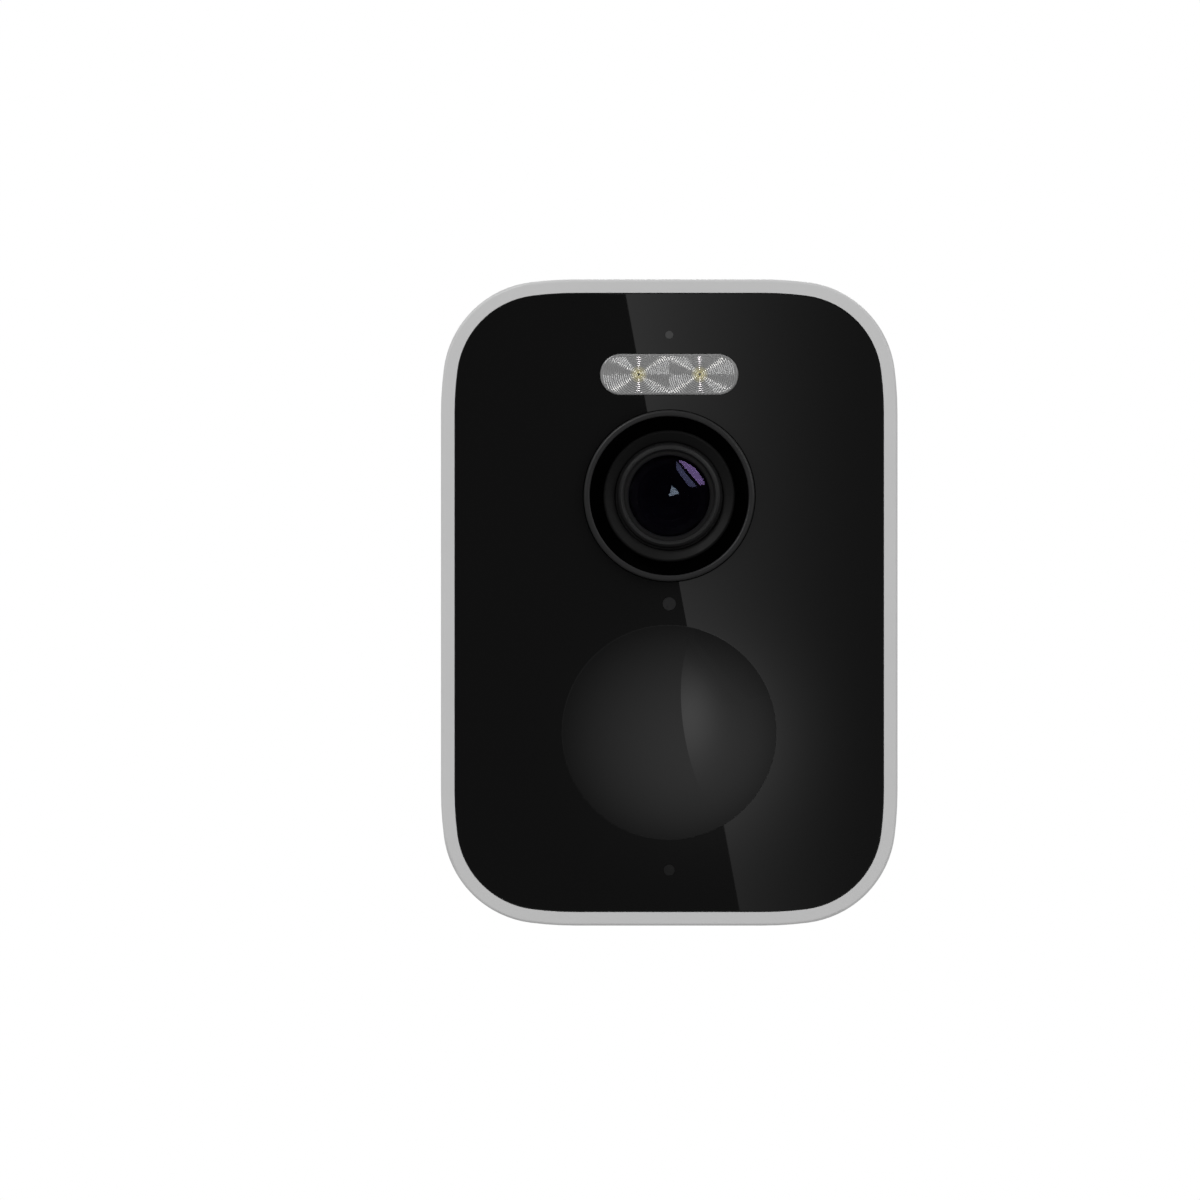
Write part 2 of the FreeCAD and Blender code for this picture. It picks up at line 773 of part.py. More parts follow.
def lens():
    at_lens = {"height": S.lens_height}
    proud = S.ring_proud
    turned(
        "lens_ring",
        [
            (S.ring_inner, -(S.tape_back + 1)),
            (S.ring_flange, -(S.tape_back + 1)),
            (S.ring_flange, -S.tape_back),
            (S.ring_radius, -S.tape_back),
            (S.ring_radius, proud - 0.35),
            (S.ring_radius - 0.35, proud),
            (S.ring_inner + 0.2, proud),
            (S.ring_inner, proud - 0.2),
        ],
        {4: 0.35, 6: 0.2},
        **at_lens,
    )
    turned("lens_seal", washer_profile(S.hood_radius, S.ring_inner - 0.05, -S.recess_floor, -6.4), **at_lens)
    turned(
        "lens_hood",
        [
            (S.hood_inner, -10.1),
            (S.hood_radius, -10.1),
            (S.hood_radius, -1.35),
            (S.hood_radius - 0.35, -1.0),
            (S.hood_inner + 0.15, -1.75),
            (S.hood_inner, -1.95),
        ],
        {2: 0.35},
        **at_lens,
    )
    turned(
        "lens_barrel",
        [
            (S.bore_radius, -16.5),
            (S.barrel_thread, -16.5),
            (S.barrel_thread, -10.1),
            (S.barrel_radius, -10.1),
            (S.barrel_radius, -1.45),
            (S.barrel_radius - 0.25, -0.95),
            (S.barrel_radius - 0.55, -0.75),
            (S.element_radius + 0.3, -0.75),
            (S.element_radius + 0.05, -1.0),
            (S.element_radius + 0.05, -4.7),
            (S.bore_radius, -4.7),
        ],
        **at_lens,
    )
    turned(
        "lens_retainer",
        [
            (S.glass_radius, -2.62),
            (S.element_radius, -2.76),
            (S.element_radius, -1.25),
            (S.element_radius - 0.15, -1.1),
        ],
        **at_lens,
    )
    turned(
        "front_lens_element",
        [
            (0, -2.7),
            (4.2, -4.6),
            (S.element_radius, -4.6),
            (S.element_radius, -2.8),
            (S.glass_radius, -2.65),
            (0, -0.65),
        ],
        {0: -cap_radius(4.2, 1.9), 4: cap_radius(S.glass_radius, 2.0)},
        **at_lens,
    )
    inner = S.bore_radius
    turned(
        "lens_spacer",
        [(2.9, -7.2), (inner, -7.2), (inner, -4.75), (4.2, -4.75)],
        **at_lens,
    )
    turned(
        "middle_lens_element",
        [(0, -8.9), (inner, -8.1), (inner, -7.5), (2.4, -7.5), (0, -6.6)],
        {0: cap_radius(inner, 0.8), 3: cap_radius(2.4, 0.9)},
        **at_lens,
    )
    turned("aperture_stop", washer_profile(1.1, inner, -9.3, -9.0), **at_lens)
    turned(
        "rear_lens_element",
        [(0, -13.6), (inner, -12.7), (inner, -10.6), (0, -9.6)],
        {0: cap_radius(inner, 0.9), 2: cap_radius(inner, 1.0)},
        **at_lens,
    )


def lens_back():
    """The lens mount with its infrared-cut slide, the image sensor and their board."""
    at_lens = {"height": S.lens_height}
    board = -S.sensor_board_depth
    mount = new_body("lens_mount", **at_lens)
    slab(mount, lambda s: add_rectangle(s, -11.0, 11.0, -7.0, 7.0), board, -17.6)
    slab(mount, lambda s: add_circle(s, 0, 0, 7.6), -17.6, -11.5)
    slab(mount, lambda s: add_circle(s, 0, 0, 9.3), -11.5, -10.1)
    hole(mount, lambda s: add_rectangle(s, -9.8, 9.8, -4.8, 4.8), board, -19.2)
    hole(mount, lambda s: add_circle(s, 0, 0, S.barrel_thread), -17.6, -10.1)
    hole(mount, lambda s: add_circle(s, 0, 0, 4.4), -19.2, -17.6)
    slab(mount, lambda s: add_rectangle(s, -4.0, 4.0, 6.8, 10.4), board, -19.8)
    slide = new_body("filter_slide", **at_lens)
    slab(slide, lambda s: add_rectangle(s, -3.4, 9.4, -3.9, 3.9), -20.6, -19.8)
    hole(slide, lambda s: [add_circle(s, x, 0, 2.6) for x in (0, 6.0)], -20.6, -19.8)
    slab(slide, lambda s: [add_circle(s, x, 0, 2.7) for x in (0, 6.0)], -20.5, -19.9)
    block("image_sensor", (7.2, 5.6, 0.9), (-3.6, -2.8, board), **at_lens)
    carrier = new_body("sensor_board", **at_lens)
    slab(carrier, lambda s: add_rectangle(s, -15.0, 15.0, -12.5, 12.5), board - S.board_thickness, board)
    slab(
        carrier,
        lambda s: add_rectangle(s, -6.0, 6.0, -10.0, -7.0),
        -S.main_board_depth,
        board - S.board_thickness,
    )


# ---------------------------------------------------------------- light


def light():
    at_light = {"height": S.light_height}
    lens_body = new_body("light_lens", **at_light)
    lip = S.light_lip * 2
    slab(lens_body, lambda s: add_pill(s, 0, 0, S.light_width, S.light_tall), -(S.tape_back + 0.8), 0.05)
    round_edges(lens_body, 0.05, 0.25)
    slab(
        lens_body,
        lambda s: add_pill(s, 0, 0, S.light_width + lip, S.light_tall + lip),
        -(S.tape_back + 0.8),
        -S.tape_back,
    )
    reflector = new_body("light_reflector", **at_light)
    slab(reflector, lambda s: add_pill(s, 0, 0, 19.4, 5.6), -7.4, -2.75)
    half = S.led_spacing / 2
    hole(reflector, lambda s: [add_circle(s, x, 0, 2.45) for x in (half, -half)], -7.4, -2.75)
    hole(reflector, lambda s: add_pill(s, 0, 0, 18.0, 4.6), -5.2, -2.75)
    leds = new_body("light_leds", **at_light)

    def chips(size):
        def draw(sketch):
            for x in (half, -half):
                add_rectangle(sketch, x - size, x + size, -size, size)

        return draw

    slab(leds, chips(1.6), -7.4, -6.8)
    slab(leds, lambda s: [add_circle(s, x, 0, 1.3) for x in (half, -half)], -6.8, -6.1)
    board_low = -(7.4 + S.board_thickness)
    block("light_board", (24.0, 11.7, S.board_thickness), (-12.0, -4.3, board_low), **at_light)
    block("heat_spreader", (22.0, 8.0, 3.0), (-11.0, -4.0, board_low - 3.0), **at_light)
    emitters = new_body("infrared_lights", height=S.lens_height)
    centres = [(INFRARED_X, 0), (-INFRARED_X, 0)]
    slab(emitters, lambda s: [add_circle(s, x, y, 2.5) for x, y in centres], -7.0, -2.2)
    round_edges(emitters, -2.2, 2.2)
    slab(emitters, lambda s: [add_circle(s, x, y, 2.9) for x, y in centres], -8.2, -7.0)

    def squares(sketch):
        for x, _ in centres:
            add_rectangle(sketch, x - 4, x + 4, -6.0, 6.0)

    slab(emitters, squares, -9.4, -8.2)


# ---------------------------------------------------------------- motion sensor and front board


def motion_sensor():
    base, rise = S.dome_radius, S.dome_rise
    inner_base, inner_rise = base - 1.0, rise - 0.35
    skirt = -(S.tape_back + S.dome_wall)
    rim = -0.15
    turned(
        "sensor_dome",
        [
            (inner_base, skirt),
            (base + S.dome_lip, skirt),
            (base + S.dome_lip, -S.tape_back),
            (base, -S.tape_back),
            (base, rim),
            (0, rim + rise),
            (0, rim + rise - S.dome_wall),
            (inner_base, rim - S.dome_wall + 0.35),
        ],
        {4: cap_radius(base, rise), 6: -cap_radius(inner_base, inner_rise)},
        height=S.dome_height,
    )
    top = -S.front_board_depth
    turned(
        "motion_sensor",
        [(0, top), (4.6, top), (4.6, top + 0.6), (4.1, top + 0.6), (4.1, top + 4.2), (0, top + 4.2)],
        height=S.dome_height,
    )
    board = new_body("front_board")
    slab(board, lambda s: add_rectangle(s, -19.0, 19.0, -39.8, 1.4), top - S.board_thickness, top)

    def soldered(sketch):
        """The status LED and the microphone, under their pins."""
        for height in (S.middle_dot_height, S.bottom_dot_height):
            add_rectangle(sketch, -1.2, 1.2, height - 1.0, height + 1.0)

    slab(board, soldered, top, top + 0.9)


# ---------------------------------------------------------------- power, sound and radio


def main_unit():
    board = -S.main_board_depth
    back = board - S.board_thickness
    main = new_body("main_board")
    slab(main, lambda s: add_rectangle(s, -19.0, 19.0, -35.0, 37.0), back, board)
    hole(main, lambda s: [add_circle(s, x, y, 1.1) for x, y in MAIN_SCREWS], back, board)
    slab(main, lambda s: add_rectangle(s, -12.0, 12.0, -22.0, -2.0), board, board + 2.2)
    board_screws()

    cradle = new_body("battery_cradle")
    plate_front, plate_back = back - CRADLE_GAP, -POST_FRONT
    slab(cradle, lambda s: add_rectangle(s, -24.4, 24.4, -38.6, 38.6), plate_back, plate_front)
    slab(cradle, lambda s: [add_circle(s, x, y, 2.2) for x, y in MAIN_SCREWS], plate_front, back)

    def rails(sketch):
        add_rectangle(sketch, 19.0, 20.4, -21.0, 31.0)
        add_rectangle(sketch, -20.4, -19.0, -21.0, 31.0)
        add_rectangle(sketch, -17.5, 1.0, -26.4, -24.9)
        add_rectangle(sketch, 11.0, 17.5, -26.4, -24.9)

    slab(cradle, rails, -44.0, plate_back)
    hole(cradle, lambda s: [add_circle(s, x, y, PILOT) for x, y in MAIN_SCREWS], plate_back, back)
    hole(cradle, lambda s: [add_circle(s, x, y, 1.1) for x, y in POSTS], plate_back, plate_front)
    hole(cradle, lambda s: add_rectangle(s, 3.0, 9.0, -35.0, -29.0), plate_back, plate_front)

    cells = new_body("battery_cells", height=S.cell_height - S.cell_length / 2, facing=UP)
    bind(cells, "Placement.Base.y", -(front_out - S.cell_depth))
    half = S.cell_spacing / 2
    slab(cells, lambda s: [add_circle(s, x, 0, S.cell_radius) for x in (half, -half)], 0, S.cell_length)
    block("antenna", (28.0, 0.4, 14.0), (-14.0, S.body_height / 2 - S.wall - 0.5, -30.0))


def sound():
    """The speaker lies on the bottom wall, behind its grille, and faces down."""
    floor = S.body_height / 2 - S.wall
    where = {"height": 0.0, "out": front_out - SPEAKER_DEPTH, "facing": DOWN}
    turned(
        "speaker",
        [
            (0, floor - 4.2),
            (6.0, floor - 4.2),
            (6.0, floor - 2.6),
            (10.4, floor - 1.4),
            (10.4, floor),
            (8.6, floor),
            (4.0, floor - 1.4),
            (0, floor - 1.0),
        ],
        **where,
    )


def ports():
    top = -S.port_board_depth
    back = top - S.board_thickness
    board = new_body("port_board")
    slab(board, lambda s: add_rectangle(s, -18.4, 18.4, -41.5, -24.6), back, top)
    hole(board, lambda s: [add_circle(s, x, y, 1.1) for x, y in BOARD_BOSSES], back, top)
    reset_x, reset_y = RESET_SPOT
    slab(board, lambda s: add_rectangle(s, reset_x - 1.5, reset_x + 1.5, reset_y - 1.5, reset_y + 1.5), -51.5, back)

    def power_switch(sketch):
        x, y = S.power_x, S.power_height
        add_rectangle(sketch, x - 3, x + 3, y - 3, y + 3)

    slab(board, power_switch, back - 3.4, back)
    slab(board, lambda s: add_circle(s, S.power_x, S.power_height, 1.7), back - 5.2, back - 3.4)
    socket = new_body("usb_socket", x=USB_SPOT[0], height=USB_SPOT[1])
    slab(socket, lambda s: add_pill(s, 0, 0, 9.0, 3.2), -54.5, back)
    hole(socket, lambda s: add_pill(s, 0, 0, 8.4, 2.6), -54.5, -49.0)
    slab(socket, lambda s: add_rectangle(s, -3.3, 3.3, -0.35, 0.35), -53.9, -49.0)
    card = new_body("card_socket", x=CARD_SPOT[0], height=CARD_SPOT[1])
    slab(card, lambda s: add_rectangle(s, -5.9, 5.9, -1.0, 1.0), -54.4, back)
    hole(card, lambda s: add_rectangle(s, -5.5, 5.5, -0.4, 0.4), -54.4, -49.0)
    turned(
        "reset_button",
        [
            (0, -54.75),
            (1.0, -54.75),
            (1.0, -53.5),
            (1.5, -53.5),
            (1.5, -52.9),
            (0.7, -52.9),
            (0.7, -51.9),
            (0, -51.9),
        ],
        x=RESET_SPOT[0],
        height=RESET_SPOT[1],
    )
    turned(
        "power_button",
        [
            (0, rear - 0.6),
            (S.power_radius - 0.4, rear - 0.6),
            (S.power_radius, rear - 0.2),
            (S.power_radius, -55.75),
            (4.9, -55.75),
            (4.9, -55.0),
            (1.6, -55.0),
            (1.6, -54.1),
            (0, -54.1),
        ],
        {1: 0.4},
        x=S.power_x,
        height=S.power_height,
    )


def port_cover():
    """The hinged cover, its seal and its pin. The hinge runs along x just inside the rear face."""
    half = S.cover_width / 2
    axis = rear + S.barrel_round
    cover = new_body("port_cover")
    slab(
        cover,
        lambda s: add_rectangle(s, S.port_x - half, S.port_x + half, S.hinge_height, S.cover_top),
        rear,
        rear + S.cover_thickness,
    )
    knuckle = new_sketch(cover, "Knuckle", "YZ_Plane", S.port_x - half)
    add_circle(knuckle, S.hinge_height, axis, S.barrel_round)
    pad(cover, knuckle, S.cover_width)
    bore = new_sketch(cover, "Bore", "YZ_Plane", S.port_x + half)
    add_circle(bore, S.hinge_height, axis, S.pin_radius + S.running_gap)
    pocket(cover, bore, S.cover_width)
    seal = new_body("port_cover_seal")
    face = rear + S.cover_thickness

    def seal_ring(sketch):
        add_rectangle(sketch, S.port_x - 8.1, S.port_x + 8.1, -32.3, -24.9)
        add_rectangle(sketch, S.port_x - 7.1, S.port_x + 7.1, -31.3, -25.9)

    slab(seal, seal_ring, face, face + 1.3)
    pin = new_body("port_cover_pin")
    outline = new_sketch(pin, "Section", "YZ_Plane", S.port_x - half - 1.8)
    add_circle(outline, S.hinge_height, axis, S.pin_radius)
    pad(pin, outline, S.cover_width + 3.6)


def leads():
    """Inner leads, each in one plane: from the cells through the cradle's window to the main board's back, and
    from the speaker to the main board's front."""
    wire = Size(0.55, "0.55")

    def inside(x, route):
        return [(x, -(front_out.value - depth), height) for height, depth in route]

    cell_end = (S.cell_height - S.cell_length / 2).value
    lead("battery_lead", inside(6.0, [(cell_end, 41.9), (-28.6, 41.9), (-32.0, 36.5), (-32.0, 29.8)]), wire)
    lead("speaker_lead", inside(-3.0, [(-40.3, 21.0), (-37.0, 21.0), (-33.5, 24.2), (-33.5, 28.6)]), wire)


# ---------------------------------------------------------------- wall bracket: z is the distance from the wall


def wall_plate():
    at_wall = {"out": 0.0}
    plate = turned(
        "wall_plate",
        [
            (S.swivel_bore, 3.6),
            (7.7, 3.6),
            (7.7, 0),
            (S.plate_radius, 0),
            (S.plate_radius, 2.2),
            (S.plate_radius - 2.6, 4.8),
            (13.5, 8.4),
            (12.0, S.plate_thickness),
            (S.swivel_bore, S.plate_thickness),
        ],
        {4: 2.8},
        **at_wall,
    )
    doc.recompute()
    seats = new_sketch(plate, "ScrewSeat", "XY_Plane", S.plate_thickness)
    add_circle(seats, 0, S.screw_circle / 2, 4.4)
    seat = pocket(plate, seats, S.plate_thickness - 2.6)
    bores = new_sketch(plate, "ScrewHole", "XY_Plane", S.plate_thickness)
    add_circle(bores, 0, S.screw_circle / 2, S.screw_hole)
    bore = pocket(plate, bores, S.plate_thickness)
    pattern = plate.newObject("PartDesign::PolarPattern", "ScrewPattern")
    pattern.Originals = [seat, bore]
    pattern.Axis = (seats, ["N_Axis"])
    pattern.Angle = 360
    pattern.Occurrences = 3
    plate.Tip = pattern
    bolt = turned(
        "swivel_bolt",
        [
            (0, 0.8),
            (6.6, 0.8),
            (6.6, 3.5),
            (S.swivel_bore - S.running_gap, 3.5),
            (S.swivel_bore - S.running_gap, S.plate_thickness + 0.15),
            (2.5, S.plate_thickness + 0.15),
            (2.5, 13.6),
            (0, 13.6),
        ],
        **at_wall,
    )
    doc.recompute()
    drive = new_sketch(bolt, "Drive", "XY_Plane", 2.4)
    add_outline(drive, hexagon_points(2.5))
    pocket(bolt, drive, 2.0)


def swivel_fork():
    """Hub on the wall plate with two ears that hold the clamp bolt."""
    fork = new_body("swivel_fork", out=0.0)
    low = S.plate_thickness + 0.15
    slab(fork, lambda s: add_circle(s, 0, 0, 11.5), low, low + 4.6)
    round_edges(fork, low + 4.6, 0.8)
    inner, outer = S.ear_gap / 2, S.ear_gap / 2 + S.ear_thickness
    pivot, radius = S.pivot_out, S.ear_radius

    def ear(sketch):
        points = [(-radius, low + 3.0), (radius, low + 3.0), (radius, pivot), (0, pivot + radius), (-radius, pivot)]
        add_outline(sketch, points, {2: radius, 3: radius})

    for start in (inner, -outer):
        slab(fork, ear, start, start + S.ear_thickness, "YZ_Plane")
    hole(fork, lambda s: add_circle(s, 0, 0, 2.5), low, low + 4.6)
    bolt_hole = new_sketch(fork, "BoltHole", "YZ_Plane", outer)
    add_circle(bolt_hole, 0, pivot, S.clamp_radius + S.running_gap)
    pocket(fork, bolt_hole, outer * 2)


def tilt_arm():
    """Eye between the ears, neck, and the round head that holds the stud."""
    arm = new_body("tilt_arm", out=0.0)
    half = S.ear_gap / 2 - 0.1
    pivot = S.pivot_out
    eye = S.ear_radius - 0.2

    def tongue(sketch):
        points = [(eye, pivot), (eye - 0.6, S.head_out + 1), (0.6 - eye, S.head_out + 1), (-eye, pivot), (0, pivot - eye)]
        add_outline(sketch, points, {3: eye, 4: eye})

    slab(arm, tongue, -half, half, "YZ_Plane")
    slab(arm, lambda s: add_circle(s, 0, 0, 8.0), S.head_out, S.head_out + 3.6)
    round_edges(arm, S.head_out + 3.6, 0.6)
    bolt_hole = new_sketch(arm, "BoltHole", "YZ_Plane", half)
    add_circle(bolt_hole, 0, pivot, S.clamp_radius + S.running_gap)
    pocket(arm, bolt_hole, half * 2)
    hole(arm, lambda s: add_circle(s, 0, 0, S.stud_radius), S.head_out - 2.4, S.head_out + 3.6)
    turned(
        "mounting_stud",
        [
            (0, S.head_out - 2.4),
            (S.stud_radius, S.head_out - 2.4),
            (S.stud_radius, S.rear_out + 5.0),
            (S.stud_radius - 0.5, S.rear_out + 5.5),
            (0, S.rear_out + 5.5),
        ],
        out=0.0,
    )


def clamp():
    """Bolt through the ears with a hexagon head on one side and a lobed knob on the other; z runs along +X."""
    outer = S.ear_gap / 2 + S.ear_thickness
    where = {"out": S.pivot_out, "facing": RIGHT}
    bolt = new_body("clamp_bolt", **where)
    slab(bolt, lambda s: add_circle(s, 0, 0, S.clamp_radius), -outer, outer + 6.5)
    slab(bolt, lambda s: add_outline(s, hexagon_points(4.2)), -outer - 3.0, -outer)
    knob = new_body("clamp_knob", **where)
    slab(knob, lambda s: add_circle(s, 0, 0, 7.2), outer + 0.1, outer + 8.1)
    round_edges(knob, outer + 8.1, 1.0)
    doc.recompute()
    flute = new_sketch(knob, "Flute", "XY_Plane", outer + 8.2)
    add_circle(flute, 8.2, 0, 1.9)
    cut = pocket(knob, flute, 6.6)
    ring = knob.newObject("PartDesign::PolarPattern", "Flutes")
    ring.Originals = [cut]
    ring.Axis = (flute, ["N_Axis"])
    ring.Angle = 360
    ring.Occurrences = 8
    knob.Tip = ring
    hole(knob, lambda s: add_circle(s, 0, 0, S.clamp_radius + S.running_gap), outer + 0.1, outer + 6.8)
    wheel = turned(
        "lock_wheel",
        [
            (S.stud_radius + S.running_gap, S.wheel_out),
            (S.wheel_radius - 0.8, S.wheel_out),
            (S.wheel_radius, S.wheel_out + 0.8),
            (S.wheel_radius, S.wheel_out + S.wheel_thickness - 0.8),
            (S.wheel_radius - 0.8, S.wheel_out + S.wheel_thickness),
            (S.stud_radius + S.running_gap, S.wheel_out + S.wheel_thickness),
        ],
        out=0.0,
    )
    doc.recompute()
    groove = new_sketch(wheel, "Groove", "XY_Plane", S.wheel_out + S.wheel_thickness)
    add_circle(groove, S.wheel_radius + 0.5, 0, 1.1)
    grip = pocket(wheel, groove, S.wheel_thickness)
    grips = wheel.newObject("PartDesign::PolarPattern", "Grips")
    grips.Originals = [grip]
    grips.Axis = (groove, ["N_Axis"])
    grips.Angle = 360
    grips.Occurrences = 20
    wheel.Tip = grips


# ---------------------------------------------------------------- build, check and write


def build():
    housing()
    rear_cover()
    casing_small_parts()
    front_stack()
    face_pins()
    lens()
    lens_back()
    light()
    motion_sensor()
    main_unit()
    sound()
    ports()
    port_cover()
    leads()
    wall_plate()
    swivel_fork()
    tilt_arm()
    clamp()
    doc.recompute()


def check():
    """Stops on any failed object, and on a sub-part that isn't a valid, closed solid."""
    for obj in doc.Objects:
        if "Invalid" in obj.State or "Error" in obj.State:
            raise RuntimeError(f"{obj.Label} failed: {obj.State}")
    for label, obj in kept.items():
        shape = obj.Shape
        if shape.isNull() or not shape.isValid() or not shape.Solids or shape.Volume <= 0:
            raise RuntimeError(f"{label} is not a valid solid")


def write():
    os.makedirs(OUT, exist_ok=True)
    for name in os.listdir(OUT):
        if name.endswith(".step") and name[:-5] not in kept:
            os.remove(os.path.join(OUT, name))
    for label, obj in kept.items():
        obj.Shape.exportStep(os.path.join(OUT, f"{label}.step"))
    print(f"{len(kept)} sub-parts written")


build()
check()
write()
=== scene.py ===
import math

import bmesh
import bpy
from mathutils import Matrix, Vector


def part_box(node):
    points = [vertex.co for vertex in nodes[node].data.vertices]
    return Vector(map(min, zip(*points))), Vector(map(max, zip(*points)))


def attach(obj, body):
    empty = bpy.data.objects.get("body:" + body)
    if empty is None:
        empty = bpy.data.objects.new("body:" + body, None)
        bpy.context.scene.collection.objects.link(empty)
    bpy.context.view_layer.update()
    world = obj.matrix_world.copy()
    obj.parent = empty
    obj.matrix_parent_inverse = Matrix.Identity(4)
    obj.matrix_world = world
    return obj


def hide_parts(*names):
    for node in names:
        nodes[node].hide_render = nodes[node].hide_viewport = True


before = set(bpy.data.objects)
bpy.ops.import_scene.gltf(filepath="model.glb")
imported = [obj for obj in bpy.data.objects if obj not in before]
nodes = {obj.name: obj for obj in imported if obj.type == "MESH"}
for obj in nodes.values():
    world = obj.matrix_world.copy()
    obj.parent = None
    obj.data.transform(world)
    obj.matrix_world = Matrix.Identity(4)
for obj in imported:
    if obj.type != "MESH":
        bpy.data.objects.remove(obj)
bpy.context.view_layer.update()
scene = bpy.context.scene

# Everything is in metres, in the part's own frame: +Z up, and the camera's face looks along -Y.
MM = 0.001


def centre_of(node):
    low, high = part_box(node)
    return (low + high) / 2


LENS = centre_of("lens_ring")
LAMP = centre_of("light_lens")
DOME = centre_of("sensor_dome")
FRONT_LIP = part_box("housing")[0].y
PANEL_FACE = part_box("front_panel")[0].y


# ---------------------------------------------------------------- node materials


class Graph:
    """A node tree and the few calls that build patterns in it."""

    def __init__(self, tree):
        self.tree = tree

    def add(self, kind, **properties):
        node = self.tree.nodes.new(kind)
        for name, value in properties.items():
            setattr(node, name, value)
        return node

    def join(self, source, target):
        self.tree.links.new(source, target)

    def feed(self, value, socket):
        """Gives a socket a plain number or another node's output."""
        if isinstance(value, (int, float)):
            socket.default_value = value
        else:
            self.join(value, socket)

    def math(self, operation, first, second=None):
        node = self.add("ShaderNodeMath", operation=operation)
        self.feed(first, node.inputs[0])
        if second is not None:
            self.feed(second, node.inputs[1])
        return node.outputs[0]

    def squares(self, first, second):
        """The sum of two values' squares."""
        first = self.math("MULTIPLY", first, first)
        second = self.math("MULTIPLY", second, second)
        return self.math("ADD", first, second)

    def distance(self, across, up):
        return self.math("SQRT", self.squares(across, up))

    def split(self, vector):
        """The x, y and z outputs of a vector."""
        node = self.add("ShaderNodeSeparateXYZ")
        self.join(vector, node.inputs[0])
        return node.outputs

    def remap(self, source, low, high, from_low=0.3, from_high=0.7, smooth=False):
        """Stretches a pattern's usual range to low..high."""
        node = self.add("ShaderNodeMapRange")
        if smooth:
            node.interpolation_type = "SMOOTHSTEP"
        node.inputs["From Min"].default_value = from_low
        node.inputs["From Max"].default_value = from_high
        node.inputs["To Min"].default_value = low
        node.inputs["To Max"].default_value = high
        self.join(source, node.inputs["Value"])
        return node.outputs["Result"]


class Finish(Graph):
    """A node material. Its patterns use the object's own coordinates, in metres."""

    def __init__(self, name, colour, roughness, metallic=0.0, **sockets):
        self.material = bpy.data.materials.new(name)
        self.material.use_nodes = True
        super().__init__(self.material.node_tree)
        self.shader = self.tree.nodes["Principled BSDF"]
        self.colour = colour
        self.roughness = roughness
        self.set("Metallic", metallic)
        for socket, value in sockets.items():
            self.set(socket.replace("_", " "), value)
        self.set("Base Color", (*colour, 1.0))
        self.set("Roughness", roughness)
        self.place = self.add("ShaderNodeTexCoord").outputs["Object"]

    def set(self, socket, value):
        self.shader.inputs[socket].default_value = value

    def noise(self, size, detail=3.0, stretch=(1, 1, 1)):
        """Noise whose features are about size metres across, from 0 to 1."""
        scaled = self.add("ShaderNodeMapping")
        scaled.inputs["Scale"].default_value = [s / size for s in stretch]
        self.join(self.place, scaled.inputs["Vector"])
        noise = self.add("ShaderNodeTexNoise")
        noise.inputs["Scale"].default_value = 1.0
        noise.inputs["Detail"].default_value = detail
        self.join(scaled.outputs["Vector"], noise.inputs["Vector"])
        return noise.outputs["Fac"]

    def cells(self, size):
        """The distance to the nearest of many scattered points, about size metres apart."""
        scaled = self.add("ShaderNodeMapping")
        scaled.inputs["Scale"].default_value = [1 / size] * 3
        self.join(self.place, scaled.inputs["Vector"])
        cells = self.add("ShaderNodeTexVoronoi")
        cells.inputs["Scale"].default_value = 1.0
        self.join(scaled.outputs["Vector"], cells.inputs["Vector"])
        return cells.outputs["Distance"]

    def radius_from(self, centre, half_spacing=0.0):
        """The distance from a line along Y through centre. With half_spacing it is the distance from the
        nearer of two such lines, that far to the left and to the right."""
        x, _, z = self.split(self.place)
        across = self.math("ABSOLUTE", self.math("SUBTRACT", x, centre.x))
        across = self.math("SUBTRACT", across, half_spacing)
        return self.distance(across, self.math("SUBTRACT", z, centre.z))

    def rings(self, centre, pitch, half_spacing=0.0):
        """Fine lathe rings about a line along Y, from -1 to 1."""
        turns = self.math("MULTIPLY", self.radius_from(centre, half_spacing), math.tau / pitch)
        return self.math("SINE", turns)

    def edge_wear(self, width=0.4 * MM):
        """1 on outer edges and 0 on flat faces, broken up by noise."""
        rounded = self.add("ShaderNodeBevel", samples=4)
        rounded.inputs["Radius"].default_value = width
        geometry = self.add("ShaderNodeNewGeometry")
        match = self.add("ShaderNodeVectorMath", operation="DOT_PRODUCT")
        self.join(rounded.outputs["Normal"], match.inputs[0])
        self.join(geometry.outputs["Normal"], match.inputs[1])
        edge = self.remap(match.outputs["Value"], 1.0, 0.0, 0.90, 0.995)
        return self.math("MULTIPLY", edge, self.remap(self.noise(1.5 * MM), 0.0, 1.0, 0.42, 0.62))

    def tint(self, mask, colour):
        """Mixes colour over the present base colour where mask is 1."""
        mix = self.add("ShaderNodeMix", data_type="RGBA")
        self.join(mask, mix.inputs["Factor"])
        base = self.shader.inputs["Base Color"]
        if base.is_linked:
            self.join(base.links[0].from_socket, mix.inputs["A"])
        else:
            mix.inputs["A"].default_value = (*self.colour, 1.0)
        mix.inputs["B"].default_value = (*colour, 1.0)
        self.join(mix.outputs["Result"], base)

    def vary_roughness(self, pattern, spread):
        """Lets the roughness follow a pattern, by spread either way."""
        low, high = max(self.roughness - spread, 0.0), self.roughness + spread
        self.join(self.remap(pattern, low, high), self.shader.inputs["Roughness"])

    def bump(self, height, depth):
        """Raises the surface by depth metres where height is 1."""
        node = self.add("ShaderNodeBump")
        node.inputs["Distance"].default_value = depth
        self.join(height, node.inputs["Height"])
        normal = self.shader.inputs["Normal"]
        if normal.is_linked:
            self.join(normal.links[0].from_socket, node.inputs["Normal"])
        self.join(node.outputs["Normal"], normal)

    def on(self, *names):
        """Gives this finish to CAD nodes or new pieces."""
        for name in names:
            piece = nodes[name] if isinstance(name, str) else name
            piece.data.materials.clear()
            piece.data.materials.append(self.material)


